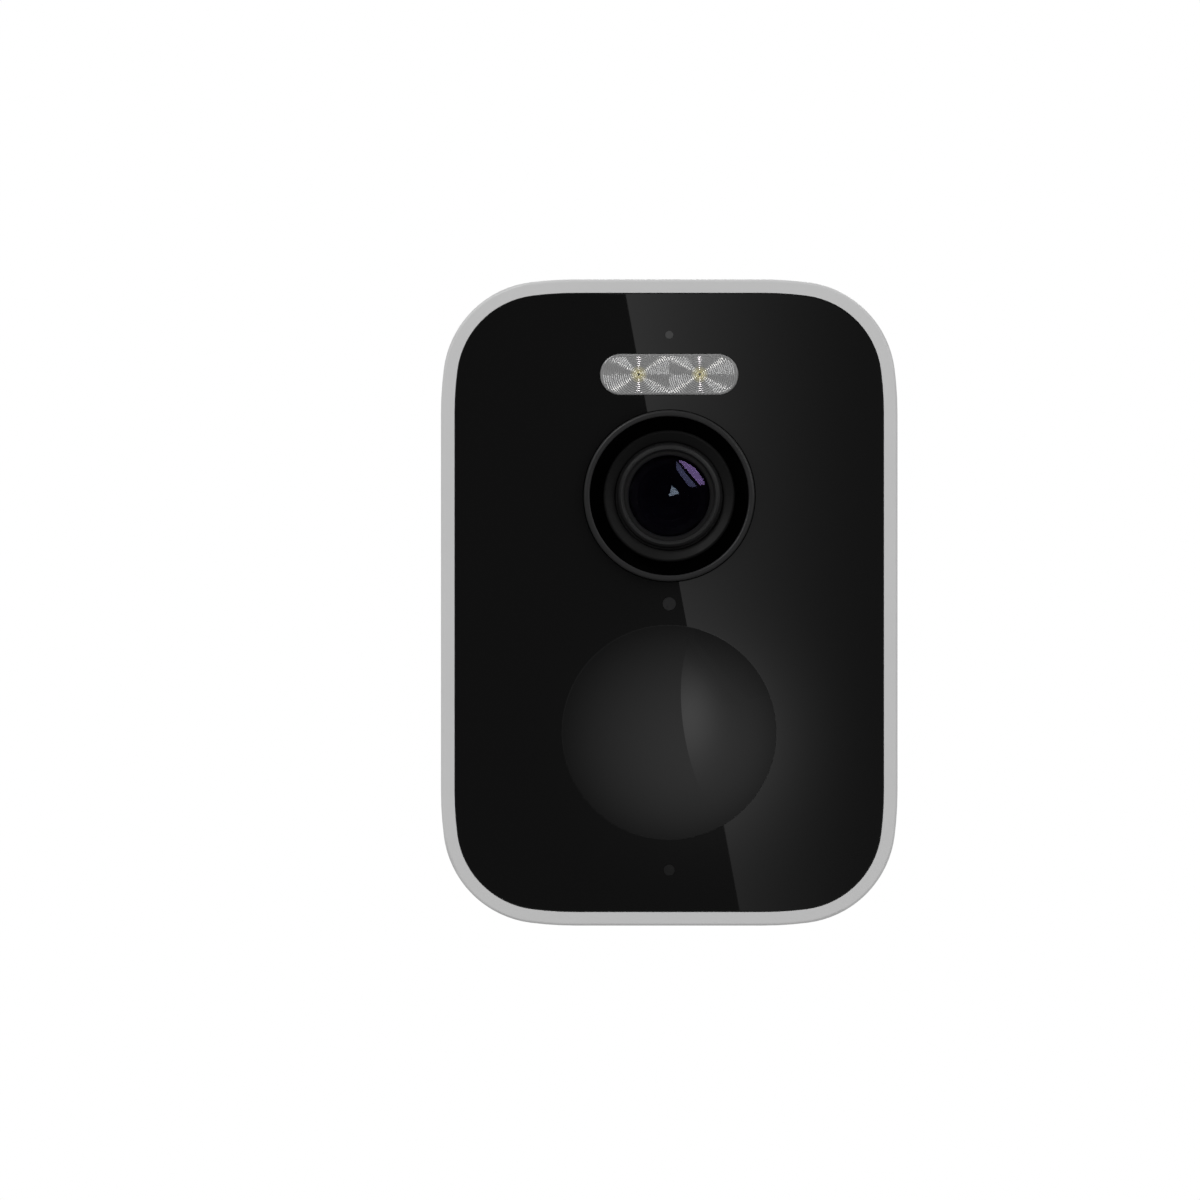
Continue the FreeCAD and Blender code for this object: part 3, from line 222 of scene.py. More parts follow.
def moulded(name, colour, roughness, grain=0.25 * MM, depth=0.006 * MM, **sockets):
    """Moulded plastic with a fine eroded texture and faint blotches."""
    finish = Finish(name, colour, roughness, **sockets)
    blotch = finish.noise(9 * MM, 4)
    darker = [c * 0.95 for c in colour]
    finish.tint(finish.remap(blotch, 0.0, 0.35, 0.45, 0.75), darker)
    finish.vary_roughness(finish.noise(2 * MM, 4), 0.05)
    finish.bump(finish.noise(grain, 2), depth)
    return finish


def metal(name, colour, roughness, brushed=(1, 1, 1), **sockets):
    """Metal with fine tool marks and brighter, rubbed edges."""
    finish = Finish(name, colour, roughness, metallic=1.0, **sockets)
    finish.vary_roughness(finish.noise(0.8 * MM, 5, brushed), 0.05)
    finish.tint(finish.edge_wear(), [min(c * 1.2, 0.95) for c in colour])
    finish.bump(finish.noise(0.15 * MM, 3, brushed), 0.003 * MM)
    return finish


def circuit_board(name):
    """Green solder mask with copper tracks under it and small pale pads."""
    finish = Finish(name, (0.006, 0.07, 0.028), 0.32, Coat_Weight=0.4)
    tracks = finish.math("GREATER_THAN", finish.math("PINGPONG", finish.noise(5 * MM, 0), 0.03), 0.018)
    finish.tint(tracks, (0.012, 0.13, 0.05))
    pads = finish.math("LESS_THAN", finish.cells(1.6 * MM), 0.16)
    finish.tint(pads, (0.62, 0.6, 0.5))
    finish.bump(tracks, 0.02 * MM)
    finish.bump(pads, 0.03 * MM)
    finish.vary_roughness(finish.noise(1 * MM), 0.08)
    return finish


def glass(name, tint, reflection):
    """Coated optical glass: clear, with a coloured reflection."""
    finish = Finish(name, tint, 0.0, Transmission_Weight=1.0, IOR=1.55, Specular_Tint=(*reflection, 1.0))
    finish.roughness = 0.01
    finish.vary_roughness(finish.noise(3 * MM), 0.01)
    return finish


# ---------------------------------------------------------------- mesh helpers


def new_piece(name, mesh, body, slot, *replaced):
    """A visible piece that rides on a body, in place of the CAD nodes named last."""
    piece = bpy.data.objects.new(name, mesh)
    scene.collection.objects.link(piece)
    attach(piece, body)
    if replaced:
        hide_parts(*replaced)
    return piece


def lathe(name, profile, centre, front, segments=192, sharp=35):
    """A closed turned mesh about a line along Y. profile is (radius, depth behind front) in metres, and a
    radius of 0 at its ends closes it on the axis."""
    work = bmesh.new()
    rings = []
    for radius, depth in profile:
        if radius == 0:
            rings.append([work.verts.new((centre.x, front + depth, centre.z))])
            continue
        ring = []
        for k in range(segments):
            turn = math.tau * k / segments
            at = (centre.x + radius * math.cos(turn), front + depth, centre.z + radius * math.sin(turn))
            ring.append(work.verts.new(at))
        rings.append(ring)
    pairs = list(zip(rings, rings[1:]))
    if len(rings[0]) > 1:
        pairs.append((rings[-1], rings[0]))
    for first, second in pairs:
        for k in range(segments):
            corners = [first[k % len(first)], first[(k + 1) % len(first)]]
            corners += [second[(k + 1) % len(second)], second[k % len(second)]]
            work.faces.new(dict.fromkeys(corners))
    bmesh.ops.recalc_face_normals(work, faces=work.faces)
    return finish_mesh(name, work, sharp)


def finish_mesh(name, work, sharp):
    """The finished mesh, smooth except at edges that turn by more than sharp degrees."""
    mesh = bpy.data.meshes.new(name)
    work.to_mesh(mesh)
    work.free()
    mesh.shade_smooth()
    mesh.set_sharp_from_angle(angle=math.radians(sharp))
    return mesh


def cap(base, rise, depth, count, inward=False):
    """Points of a shallow spherical cap, or of a dish if inward, from its rim at depth to its pole."""
    curve = (base * base + rise * rise) / (2 * rise)
    points = []
    for k in range(count + 1):
        radius = base * (1 - k / count)
        height = math.sqrt(curve * curve - radius * radius) - (curve - rise)
        points.append((radius, depth + height if inward else depth - height))
    return points


# ---------------------------------------------------------------- casing and bracket finishes


def finish_casing():
    white = moulded("casing_white", (0.80, 0.80, 0.80), 0.42)
    white.on("housing", "rear_cover", "port_cover", "power_button", "wall_plate", "swivel_fork", "tilt_arm")
    grip = moulded("grip_grey", (0.30, 0.31, 0.32), 0.5)
    grip.on("clamp_knob", "lock_wheel", "reset_button")
    rubber = moulded("seal_rubber", (0.02, 0.02, 0.02), 0.75, grain=0.4 * MM, depth=0.01 * MM)
    rubber.on("rear_seal", "front_seal", "port_cover_seal")
    plug = moulded("plug_matt", (0.0095, 0.0095, 0.0095), 0.6)
    plug.on("microphone_plug")
    zinc = metal("zinc_steel", (0.62, 0.62, 0.6), 0.32)
    zinc.on("rear_screws", "frame_screws", "board_screws", "swivel_bolt", "clamp_bolt", "mounting_stud")
    zinc.on("port_cover_pin", "usb_socket", "card_socket")
    metal("brass", (0.75, 0.56, 0.25), 0.3).on("tripod_insert", "antenna")


# ---------------------------------------------------------------- front finishes, retaining ring and gasket

# The gap between the lens barrel and the hood, and the radius of the front glass's open face.
BARREL_GAP = 0.19 * MM
GLASS_FACE = 5.83 * MM


def finish_front():
    panel = Finish("gloss_panel", (0.0135, 0.0135, 0.0135), 0.02, IOR=1.5)
    panel.vary_roughness(panel.noise(14 * MM, 5), 0.008)
    panel.on("front_panel")
    black = moulded("black_plastic", (0.012, 0.012, 0.012), 0.55)
    black.on("panel_tape", "lens_mount", "filter_slide", "battery_cradle", "speaker")
    # These parts are black plastic but darker than black_plastic: the difference is painted shade of the
    # recess behind the lens ring and of the inside of the lens.
    deep = moulded("black_painted_recess_shade", (0.003, 0.003, 0.003), 0.8, Specular_IOR_Level=0.1)
    deep.on("front_frame", "lens_seal", "lens_spacer", "aperture_stop")
    ring = moulded("lens_ring_satin", (0.0285, 0.0285, 0.029), 0.42)
    ring.bump(ring.rings(LENS, 0.08 * MM), 0.0015 * MM)
    ring.on("lens_ring")
    hood = moulded("hood_matt", (0.0092, 0.0092, 0.0092), 0.6, Specular_IOR_Level=0.3)
    hood.bump(hood.rings(LENS, 0.16 * MM), 0.002 * MM)
    hood.on("lens_hood")
    barrel = Finish("barrel_anodised", (0.0078, 0.0078, 0.0081), 0.58, Specular_IOR_Level=0.4)
    barrel.vary_roughness(barrel.noise(1 * MM, 4), 0.08)
    barrel.bump(barrel.rings(LENS, 0.1 * MM), 0.002 * MM)
    barrel.on("lens_barrel")
    satin = moulded("retainer_satin", (0.024, 0.024, 0.0245), 0.55)
    satin.on(build_retainer(), build_barrel_gasket())
    # The light sensor's pin is a much paler grey than the other dots: painted reflection of the lit side of
    # the panel around it, over its own smoked grey.
    pin = Finish("smoked_pin_painted_reflection", (0.086, 0.086, 0.086), 0.15)
    pin.vary_roughness(pin.noise(0.5 * MM), 0.05)
    pin.on("light_sensor_pin")
    frosted = Finish("frosted_pin", (0.0245, 0.0245, 0.0252), 0.35)
    frosted.vary_roughness(frosted.noise(0.4 * MM), 0.08)
    frosted.bump(frosted.noise(0.1 * MM), 0.004 * MM)
    frosted.on("status_light_pin")


def build_retainer():
    """The ring that holds the front glass: flat in front, with a small bevel towards the glass."""
    low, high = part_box("lens_retainer")
    outer, deep = (high.x - low.x) / 2, high.y - low.y
    inner = GLASS_FACE + 0.02 * MM
    bevel = 0.14 * MM
    profile = [(inner, 0.9 * MM), (inner, 0.5 * MM)]
    profile += [(inner + bevel, 0.12 * MM), (inner + 2 * bevel, 0.02 * MM)]
    profile += [(outer, 0.0), (outer, deep - 0.3 * MM)]
    mesh = lathe("retainer_ring", profile, LENS, low.y, sharp=50)
    return new_piece("retainer_ring", mesh, "camera", "barrel_black", "lens_retainer")


def build_barrel_gasket():
    """A thin soft ring, crowned in front, that closes the gap between the lens barrel and the hood."""
    low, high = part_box("lens_barrel")
    inner = (high.x - low.x) / 2
    outer = inner + BARREL_GAP
    edge, crown, back = 0.85 * MM, 0.7 * MM, 2.0 * MM
    profile = [(inner - 0.2 * MM, edge), (inner + BARREL_GAP / 2, crown), (outer, edge)]
    profile += [(outer, back), (inner, back)]
    mesh = lathe("barrel_gasket", profile, LENS, low.y, sharp=50)
    return new_piece("barrel_gasket", mesh, "camera", "seal_rubber")


# ---------------------------------------------------------------- inner pieces


def finish_inside():
    circuit_board("solder_mask").on(
        "sensor_board", "light_board", "front_board", "main_board", "port_board", "infrared_lights"
    )
    metal("nickel_can", (0.66, 0.64, 0.58), 0.28).on("motion_sensor")
    metal("bare_aluminium", (0.72, 0.72, 0.73), 0.35, brushed=(0.1, 1, 1)).on("heat_spreader")
    chip = Finish("sensor_chip", (0.05, 0.03, 0.08), 0.2, Coat_Weight=1.0)
    chip.tint(chip.noise(1.2 * MM, 0), (0.02, 0.06, 0.07))
    chip.on("image_sensor")
    wrap = Finish("cell_sleeve", (0.02, 0.09, 0.35), 0.3, Coat_Weight=0.5)
    wrap.vary_roughness(wrap.noise(4 * MM), 0.1)
    wrap.bump(wrap.noise(6 * MM, 2), 0.05 * MM)
    wrap.on("battery_cells")
    for name, colour, node in (
        ("red_lead", (0.45, 0.02, 0.015), "battery_lead"),
        ("black_lead", (0.015, 0.015, 0.015), "speaker_lead"),
    ):
        insulation = Finish(name, colour, 0.35)
        insulation.vary_roughness(insulation.noise(1 * MM), 0.1)
        insulation.bump(insulation.noise(0.5 * MM), 0.01 * MM)
        insulation.on(node)
    phosphor = Finish("led_phosphor", (0.85, 0.62, 0.06), 0.55, Subsurface_Weight=0.1)
    phosphor.bump(phosphor.noise(0.12 * MM), 0.01 * MM)
    phosphor.on("light_leds")
    mirror = Finish("lamp_reflector", (0.9, 0.9, 0.9), 0.2, metallic=0.7)
    mirror.vary_roughness(mirror.noise(1 * MM), 0.05)
    mirror.on("light_reflector")


# ---------------------------------------------------------------- lens glass and dome


def lens_element(name, node, profile, finish):
    """A dense turned element in place of a CAD one."""
    piece = new_piece(name, lathe(name, profile, LENS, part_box(node)[0].y), "camera", "lens_glass", node)
    finish.on(piece)
    return piece


# The front glass: the rise of its face, how far back its shoulder is, and the radius and depth of the dish
# in its back.
GLASS_RISE = 1.25 * MM
GLASS_SHOULDER = 2.15 * MM
GLASS_BACK = 4.2 * MM
GLASS_DISH = 1.9 * MM


def build_front_glass(bare):
    """The front element: a violet coating on its face, a bare dished back, and black paint on its rim."""
    coated = glass("front_glass", (0.85, 0.88, 1.0), (0.60, 0.42, 1.0))
    paint = moulded("lens_edge_paint", (0.002, 0.002, 0.002), 0.8, Specular_IOR_Level=0.1)
    low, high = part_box("front_lens_element")
    edge, deep = (high.x - low.x) / 2, high.y - low.y
    profile = [(0.0, deep - GLASS_DISH)]
    profile += reversed(cap(GLASS_BACK, GLASS_DISH, deep, 24)[:-1])
    profile += [(edge, deep), (edge, GLASS_SHOULDER), (GLASS_FACE, GLASS_SHOULDER)]
    profile += cap(GLASS_FACE, GLASS_RISE, GLASS_RISE, 40)
    front = lens_element("front_lens_glass", "front_lens_element", profile, coated)
    for finish in (bare, paint):
        front.data.materials.append(finish.material)
    for face in front.data.polygons:
        away = math.hypot(face.center.x - LENS.x, face.center.z - LENS.z)
        behind = face.center.y - low.y
        if behind > GLASS_RISE:
            face.material_index = 1 if away < GLASS_BACK else 2
    return front


# The middle glass: the rise and the radius of its face, and the depth of the dish in its back.
MIDDLE_RISE = 0.9 * MM
MIDDLE_FACE = 2.4 * MM
MIDDLE_DISH = 0.8 * MM


def build_middle_glass(bare):
    """The second element, with a pale coating on its face and none behind it."""
    coated = glass("inner_glass", (0.85, 0.95, 1.0), (0.85, 0.95, 1.0))
    low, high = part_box("middle_lens_element")
    edge, deep = (high.x - low.x) / 2, high.y - low.y
    profile = [(0.0, deep)]
    profile += reversed(cap(edge, MIDDLE_DISH, deep - MIDDLE_DISH, 20, inward=True)[:-1])
    profile += [(edge, MIDDLE_RISE)]
    profile += cap(MIDDLE_FACE, MIDDLE_RISE, MIDDLE_RISE, 20)
    middle = lens_element("middle_lens_glass", "middle_lens_element", profile, coated)
    middle.data.materials.append(bare.material)
    for face in middle.data.polygons:
        face.material_index = int(face.center.y - low.y > MIDDLE_RISE)


def build_lens_glass():
    """The lens elements. Bare glass neither bends nor reflects light, so that only coated faces show."""
    bare = glass("uncoated_glass", (0.85, 0.88, 1.0), (1.0, 1.0, 1.0))
    bare.set("IOR", 1.0)
    bare.on("rear_lens_element")
    front = build_front_glass(bare)
    build_middle_glass(bare)
    return front


# The dome: the rise of its face, its wall at the top and at the side, the rise inside it, and its flange's
# width and thickness.
DOME_RISE = 3.4 * MM
DOME_WALL = 0.9 * MM
DOME_SIDE = 1.0 * MM
DOME_HOLLOW = DOME_RISE - 0.35 * MM
DOME_LIP = 0.9 * MM
DOME_LIP_DEPTH = 0.9 * MM


def build_dome():
    """The motion sensor's dome, dense enough for a clean reflection."""
    satin = Finish("dome_satin", (0.0105, 0.0105, 0.0105), 0.5, Specular_IOR_Level=0.0)
    satin.set("Coat Weight", 1.0)
    satin.set("Coat Roughness", 0.02)
    satin.vary_roughness(satin.noise(5 * MM), 0.02)
    low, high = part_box("sensor_dome")
    lip = (high.x - low.x) / 2
    base, deep = lip - DOME_LIP, high.y - low.y
    inside = base - DOME_SIDE
    profile = [(0.0, DOME_WALL)]
    profile += reversed(cap(inside, DOME_HOLLOW, DOME_HOLLOW + DOME_WALL, 24)[:-1])
    profile += [(inside, deep), (lip, deep), (lip, deep - DOME_LIP_DEPTH), (base, deep - DOME_LIP_DEPTH)]
    profile += cap(base, DOME_RISE, DOME_RISE, 48)
    mesh = lathe("dome_cover", profile, DOME, low.y)
    piece = new_piece("dome_cover", mesh, "camera", "dome_black", "sensor_dome")
    satin.on(piece)
    return piece


# ---------------------------------------------------------------- lamp lens with its rings

# The grooves' pitch and depth, the width of the lip behind the panel and of the plain border, and half the
# side of an LED.
RING_PITCH = 0.3 * MM
RING_DEPTH = 0.055 * MM
LAMP_LIP = 0.8 * MM
LAMP_BORDER = 0.3 * MM
LED_EDGE = 1.6 * MM
# The dark spot at each LED's middle, and where its yellow ends.
SPOT_RADIUS = 0.2 * MM
YELLOW_RADIUS = 1.3 * MM
# Spokes of the ring mesh nearer than this to a corner's own spoke are left out, in radians.
SPOKE_GAP = 0.004


def groove_depth(radius):
    """How deep the lens face is at this distance from its LED: a row of V grooves."""
    share = radius / (RING_PITCH / 2) % 2
    return RING_DEPTH * min(share, 2 - share)


def reach_in(turn, offset, half_width, half_tall):
    """How far the pill's outline or its middle seam is from the LED at x = offset, in the direction turn,
    and whether it is the seam."""
    across, up = math.cos(turn), math.sin(turn)
    if across < 0 and abs(offset / across * up) <= half_tall * 1.000001:
        return -offset / across, True
    end = half_width - half_tall
    if abs(up) > 1e-9:
        flat = half_tall / abs(up)
        if offset + flat * across <= end:
            return flat, False
    gap = end - offset
    return gap * across + math.sqrt((gap * across) ** 2 - gap * gap + half_tall * half_tall), False


def ring_field(work, side, offset, half_width, half_tall, face, segments=240):
    """V rings round one LED, cut off by the lamp's outline and by the seam halfway to the other LED."""
    corner = math.atan2(half_tall, -offset)
    turns = [math.tau * k / segments for k in range(segments)]
    turns = [t for t in turns if all(abs(t - c) > SPOKE_GAP for c in (corner, math.tau - corner))]
    turns = sorted(turns + [corner, math.tau - corner])
    reaches = [reach_in(t, offset, half_width, half_tall) for t in turns]
    centre = work.verts.new((LAMP.x + side * offset, face, LAMP.z))
    inner, ended = [centre] * len(turns), [False] * len(turns)
    step = 0
    while not all(ended):
        step += 1
        ring = []
        for k, turn in enumerate(turns):
            if ended[k]:
                ring.append(inner[k])
                continue
            reach, on_seam = reaches[k]
            radius = min(step * RING_PITCH / 2, reach)
            ended[k] = radius >= reach
            depth = 0.0 if ended[k] and not on_seam else groove_depth(radius)
            x = LAMP.x + side * (offset + radius * math.cos(turn))
            ring.append(work.verts.new((x, face + depth, LAMP.z + radius * math.sin(turn))))
        for k in range(len(turns)):
            after = (k + 1) % len(turns)
            loop = dict.fromkeys([inner[k], inner[after], ring[after], ring[k]])
            if len(loop) > 2:
                work.faces.new(loop)
        inner = ring


def build_lamp_lens():
    """The pill-shaped lens, with V rings round each LED, a rounded border and a lip behind the panel."""
    low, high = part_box("light_lens")
    half_width = (high.x - low.x) / 2 - LAMP_LIP
    half_tall = (high.z - low.z) / 2 - LAMP_LIP
    deep = high.y - low.y
    leds_low, leds_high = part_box("light_leds")
    offset = (leds_high.x - leds_low.x) / 2 - LED_EDGE
    work = bmesh.new()
    for side in (1, -1):
        ring_field(work, side, offset, half_width - LAMP_BORDER, half_tall - LAMP_BORDER, low.y)
    bmesh.ops.remove_doubles(work, verts=work.verts, dist=0.0005 * MM)
    end = half_width - half_tall
    # Each level is how far the outline lies outside the pill and how deep it is: the rounded border, then
    # the side wall and the lip.
    levels = [(-0.18 * MM, 0.01 * MM), (-0.08 * MM, 0.06 * MM), (-0.02 * MM, 0.14 * MM), (0.0, 0.24 * MM)]
    levels += [(0.0, deep - LAMP_LIP), (LAMP_LIP, deep - LAMP_LIP), (LAMP_LIP, deep)]
    for grow, depth in levels:
        edges = [e for e in work.edges if e.is_boundary]
        bmesh.ops.extrude_edge_only(work, edges=edges)
        for vert in {v for e in work.edges if e.is_boundary for v in e.verts}:
            core = Vector((LAMP.x + max(-end, min(end, vert.co.x - LAMP.x)), 0, LAMP.z))
            out = Vector((vert.co.x - core.x, 0, vert.co.z - core.z)).normalized() * (half_tall + grow)
            vert.co = (core.x + out.x, low.y + depth, core.z + out.z)
    bmesh.ops.edgeloop_fill(work, edges=[e for e in work.edges if e.is_boundary])
    bmesh.ops.recalc_face_normals(work, faces=work.faces)
    piece = new_piece("lamp_lens", finish_mesh("lamp_lens", work, 8), "camera", "clear_lens", "light_lens")
    finish_lamp(piece, offset)
    return piece


def finish_lamp(piece, offset):
    """Milky plastic, with painted shade darkening its grooves. The LEDs, offset to each side, show yellow
    round a dark spot.
    """
    clear = Finish("lamp_plastic", (0.44, 0.44, 0.44), 0.13, Transmission_Weight=0.2, IOR=1.49)
    # Painted shade: darker rings at the grooves' pitch stand in for the shade inside the V grooves.
    groove_shade = clear.remap(clear.rings(LAMP, RING_PITCH, offset), 0.0, 0.5, -1.0, 1.0)
    clear.tint(groove_shade, (0.24, 0.24, 0.24))
    radius = clear.radius_from(LAMP, offset)
    yellow = clear.remap(radius, 0.75, 0.0, SPOT_RADIUS, YELLOW_RADIUS)
    clear.tint(yellow, (0.92, 0.82, 0.36))
    clear.tint(clear.math("LESS_THAN", radius, SPOT_RADIUS), (0.05, 0.045, 0.018))
    clear.vary_roughness(clear.noise(0.6 * MM), 0.02)
    clear.on(piece)


# ---------------------------------------------------------------- camera, world and floor

# The width seen at the casing's front lip, the camera's distance from it, and how far the camera stands to
# the left of the object's middle and above it.
VIEW_WIDTH = 172.62 * MM
VIEW_DISTANCE = 1.2
SIDE_STEP = 9.96 * MM
RISE = 0.35 * MM
SENSOR = 36.0


def make_camera():
    """A long lens straight in front of the camera's face, a little to the left of its middle."""
    data = bpy.data.cameras.new("view")
    data.sensor_width = SENSOR
    data.lens = SENSOR * VIEW_DISTANCE / VIEW_WIDTH
    data.clip_start = 0.05
    data.clip_end = 10.0
    view = bpy.data.objects.new("view", data)
    view.location = (-SIDE_STEP, FRONT_LIP - VIEW_DISTANCE, RISE)
    view.rotation_euler = (math.pi / 2, 0, 0)
    scene.collection.objects.link(view)
    scene.camera = view


# The light from all round, and what gloss shows of it in front and behind. The one turns into the other
# where the Y of the direction goes from GLOSS_TURN's first value to its second.
AMBIENT = 0.41
FRONT_GLOSS = 0.02
BACK_GLOSS = 0.55
GLOSS_TURN = (-0.25, 0.35)


def make_world():
    """White behind the object and a soft grey light all round. What gloss shows of it is dark in front, so
    that the black face stays black, and pale at the sides and behind."""
    world = bpy.data.worlds.new("studio")
    world.use_nodes = True
    scene.world = world
    graph = Graph(world.node_tree)
    graph.tree.nodes.clear()
    path = graph.add("ShaderNodeLightPath").outputs

    def background(level):
        node = graph.add("ShaderNodeBackground")
        graph.feed(level, node.inputs["Strength"])
        node.inputs["Color"].default_value = (1, 1, 1, 1)
        return node.outputs[0]

    def choose(factor, first, second):
        mix = graph.add("ShaderNodeMixShader")
        for source, socket in zip((factor, first, second), mix.inputs):
            graph.join(source, socket)
        return mix.outputs[0]

    _, back, _ = graph.split(graph.add("ShaderNodeTexCoord").outputs["Generated"])
    gloss = graph.remap(back, FRONT_GLOSS, BACK_GLOSS, *GLOSS_TURN, smooth=True)
    shown = choose(path["Is Glossy Ray"], background(AMBIENT), background(gloss))
    shown = choose(path["Is Transmission Ray"], shown, background(0.0))
    shown = choose(path["Is Camera Ray"], shown, background(1.0))
    graph.join(shown, graph.add("ShaderNodeOutputWorld").inputs["Surface"])


FLOOR_DROP = 0.9
FLOOR_REACH = 6.0
# The floor's glow grows from the first strength to the second between these distances from its middle.
FLOOR_GLOW = (0.45, 1.0)
FLOOR_FADE = (0.5, 3.0)


def make_floor():
    """A wide pale floor that fades to the white behind it. Neither gloss nor glass shows it."""
    mesh = bpy.data.meshes.new("floor")
    around = [math.tau * k / 96 for k in range(96)]
    ring = [(FLOOR_REACH * math.cos(a), FLOOR_REACH * math.sin(a), 0) for a in around]
    mesh.from_pydata(ring, [], [tuple(range(len(ring)))])
    floor = bpy.data.objects.new("floor", mesh)
    floor.location = (0, 0, -FLOOR_DROP)
    floor.visible_glossy = False
    floor.visible_diffuse = False
    floor.visible_transmission = False
    scene.collection.objects.link(floor)
    pale = Finish("floor_pale", (0.86, 0.86, 0.86), 0.9)
    pale.vary_roughness(pale.noise(0.2), 0.05)
    away = pale.add("ShaderNodeVectorMath", operation="LENGTH")
    pale.join(pale.place, away.inputs[0])
    pale.set("Emission Color", (1, 1, 1, 1))
    glow = pale.remap(away.outputs["Value"], *FLOOR_GLOW, *FLOOR_FADE, smooth=True)
    pale.join(glow, pale.shader.inputs["Emission Strength"])
    pale.on(floor)
    return floor


# ---------------------------------------------------------------- lights and what the gloss reflects


def link_to(light, pieces):
    """The light falls on these pieces only."""
    receivers = bpy.data.collections.new(light.name + "_receivers")
    for piece in pieces:
        receivers.objects.link(piece)
    light.light_linking.receiver_collection = receivers


def softbox(name, at, size, power, only, colour=(1, 1, 1)):
    """An area light at a point, aimed at the middle of the object's front. It falls on the pieces in only."""
    data = bpy.data.lights.new(name, "AREA")
    data.shape = "RECTANGLE"
    data.size, data.size_y = size
    data.energy = power
    data.color = colour
    light = bpy.data.objects.new(name, data)
    light.location = at
    aim = Vector((0, FRONT_LIP, 0)) - Vector(at)
    light.rotation_euler = aim.to_track_quat("-Z", "Y").to_euler()
    scene.collection.objects.link(light)
    link_to(light, only)
    return light


class Glow(Graph):
    """A square light close in front of the object that shows only in the gloss of some pieces. Its brightness
    is built from the x and z of the points on it."""

    def __init__(self, name, at, size, only):
        data = bpy.data.lights.new(name, "AREA")
        data.size = size
        data.energy = 4 * size * size
        data.use_nodes = True
        light = bpy.data.objects.new(name, data)
        light.location = at
        light.rotation_euler = (math.pi / 2, 0, 0)
        light.visible_camera = False
        light.visible_diffuse = False
        scene.collection.objects.link(light)
        link_to(light, only)
        self.source = light
        super().__init__(data.node_tree)
        self.tree.nodes.clear()
        self.emission = self.add("ShaderNodeEmission")
        self.join(self.emission.outputs[0], self.add("ShaderNodeOutputLight").inputs["Surface"])
        self.x, _, self.z = self.split(self.add("ShaderNodeNewGeometry").outputs["Position"])

    def spot(self, x, z, wide, tall, level):
        """A soft round glow: level at its middle, and about a third of it at wide or tall from there."""
        across = self.math("DIVIDE", self.math("SUBTRACT", self.x, x), wide)
        up = self.math("DIVIDE", self.math("SUBTRACT", self.z, z), tall)
        square = self.squares(across, up)
        return self.math("MULTIPLY", self.math("EXPONENT", self.math("MULTIPLY", square, -1.0)), level)

    def shine(self, strength):
        """Sets the brightness, as a number or a node's output."""
        self.feed(strength, self.emission.inputs["Strength"])


PANEL_GAP = 45 * MM
# The slanting edge: its x at the height of the origin, and how far x changes with height.
EDGE_MIDDLE = 1.93 * MM
EDGE_SLOPE = -0.185
# From FADE_FLOOR at FADE_END, the lit side grows by FADE_LEVEL over FADE_LENGTH towards the left. FADE_POWER
# is the power of its curve.
FADE_END = 29.7 * MM
FADE_LENGTH = 33.9 * MM
FADE_POWER = 1.6
FADE_LEVEL = 0.41
FADE_FLOOR = 0.03
# The glow beside the dome: where it is, its reach and level, and the share of it on the dark side.
GLOW_AT = (4.4 * MM, -19.8 * MM)
GLOW_REACH = 12 * MM
GLOW_LEVEL = 0.62
DARK_SHARE = 0.25


def make_panel_light():
    """The light whose slanting edge shows in the panel, with the softer glow beside the dome. Sizes are those
    seen on the panel, and spread and shift turn them into sizes on the light."""
    spread = 1 + PANEL_GAP / VIEW_DISTANCE
    shift = SIDE_STEP * PANEL_GAP / VIEW_DISTANCE
    at = (0, PANEL_FACE - PANEL_GAP, 0)
    card = Glow("panel_light", at, 150 * MM, [nodes["front_panel"]])
    slant = card.math("SUBTRACT", card.x, card.math("MULTIPLY", card.z, EDGE_SLOPE))
    lit = card.math("GREATER_THAN", slant, EDGE_MIDDLE * spread + shift)
    left = card.math("SUBTRACT", FADE_END * spread + shift, card.x)
    share = card.math("MAXIMUM", card.math("DIVIDE", left, FADE_LENGTH * spread), 0.0)
    fade = card.math("MULTIPLY", card.math("POWER", share, FADE_POWER), FADE_LEVEL)
    fade = card.math("ADD", fade, FADE_FLOOR)
    reach = GLOW_REACH * spread
    glow = card.spot(GLOW_AT[0] * spread + shift, GLOW_AT[1] * spread, reach, reach, GLOW_LEVEL)
    inner = card.math("MULTIPLY", lit, card.math("ADD", fade, glow))
    outer = card.math("MULTIPLY", glow, DARK_SHARE)
    card.shine(card.math("MAXIMUM", inner, outer))


DOME_GAP = 32 * MM
# Two soft spots: x, height over the dome's middle, reach across and up, and level. The second shows only
# inside the round light, whose middle and radius follow.
DOME_WIDE_SPOT = (12.5 * MM, -7.5 * MM, 52 * MM, 48 * MM, 0.475)
DOME_BRIGHT_SPOT = (7.8 * MM, 6.7 * MM, 11.2 * MM, 18 * MM, 0.52)
ROUND_LIGHT_AT = (95 * MM, 14 * MM)
ROUND_LIGHT_RADIUS = 90 * MM


def make_dome_light(dome):
    """A wide soft glow on the dome, and a round light whose edge crosses it."""
    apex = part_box("sensor_dome")[0].y
    card = Glow("dome_light", (DOME.x, apex - DOME_GAP, DOME.z), 240 * MM, [dome])
    spots = []
    for x, rise, wide, tall, level in (DOME_WIDE_SPOT, DOME_BRIGHT_SPOT):
        spots.append(card.spot(x, DOME.z + rise, wide, tall, level))
    across = card.math("SUBTRACT", card.x, ROUND_LIGHT_AT[0])
    up = card.math("SUBTRACT", card.z, DOME.z + ROUND_LIGHT_AT[1])
    inside = card.math("LESS_THAN", card.distance(across, up), ROUND_LIGHT_RADIUS)
    card.shine(card.math("ADD", spots[0], card.math("MULTIPLY", inside, spots[1])))


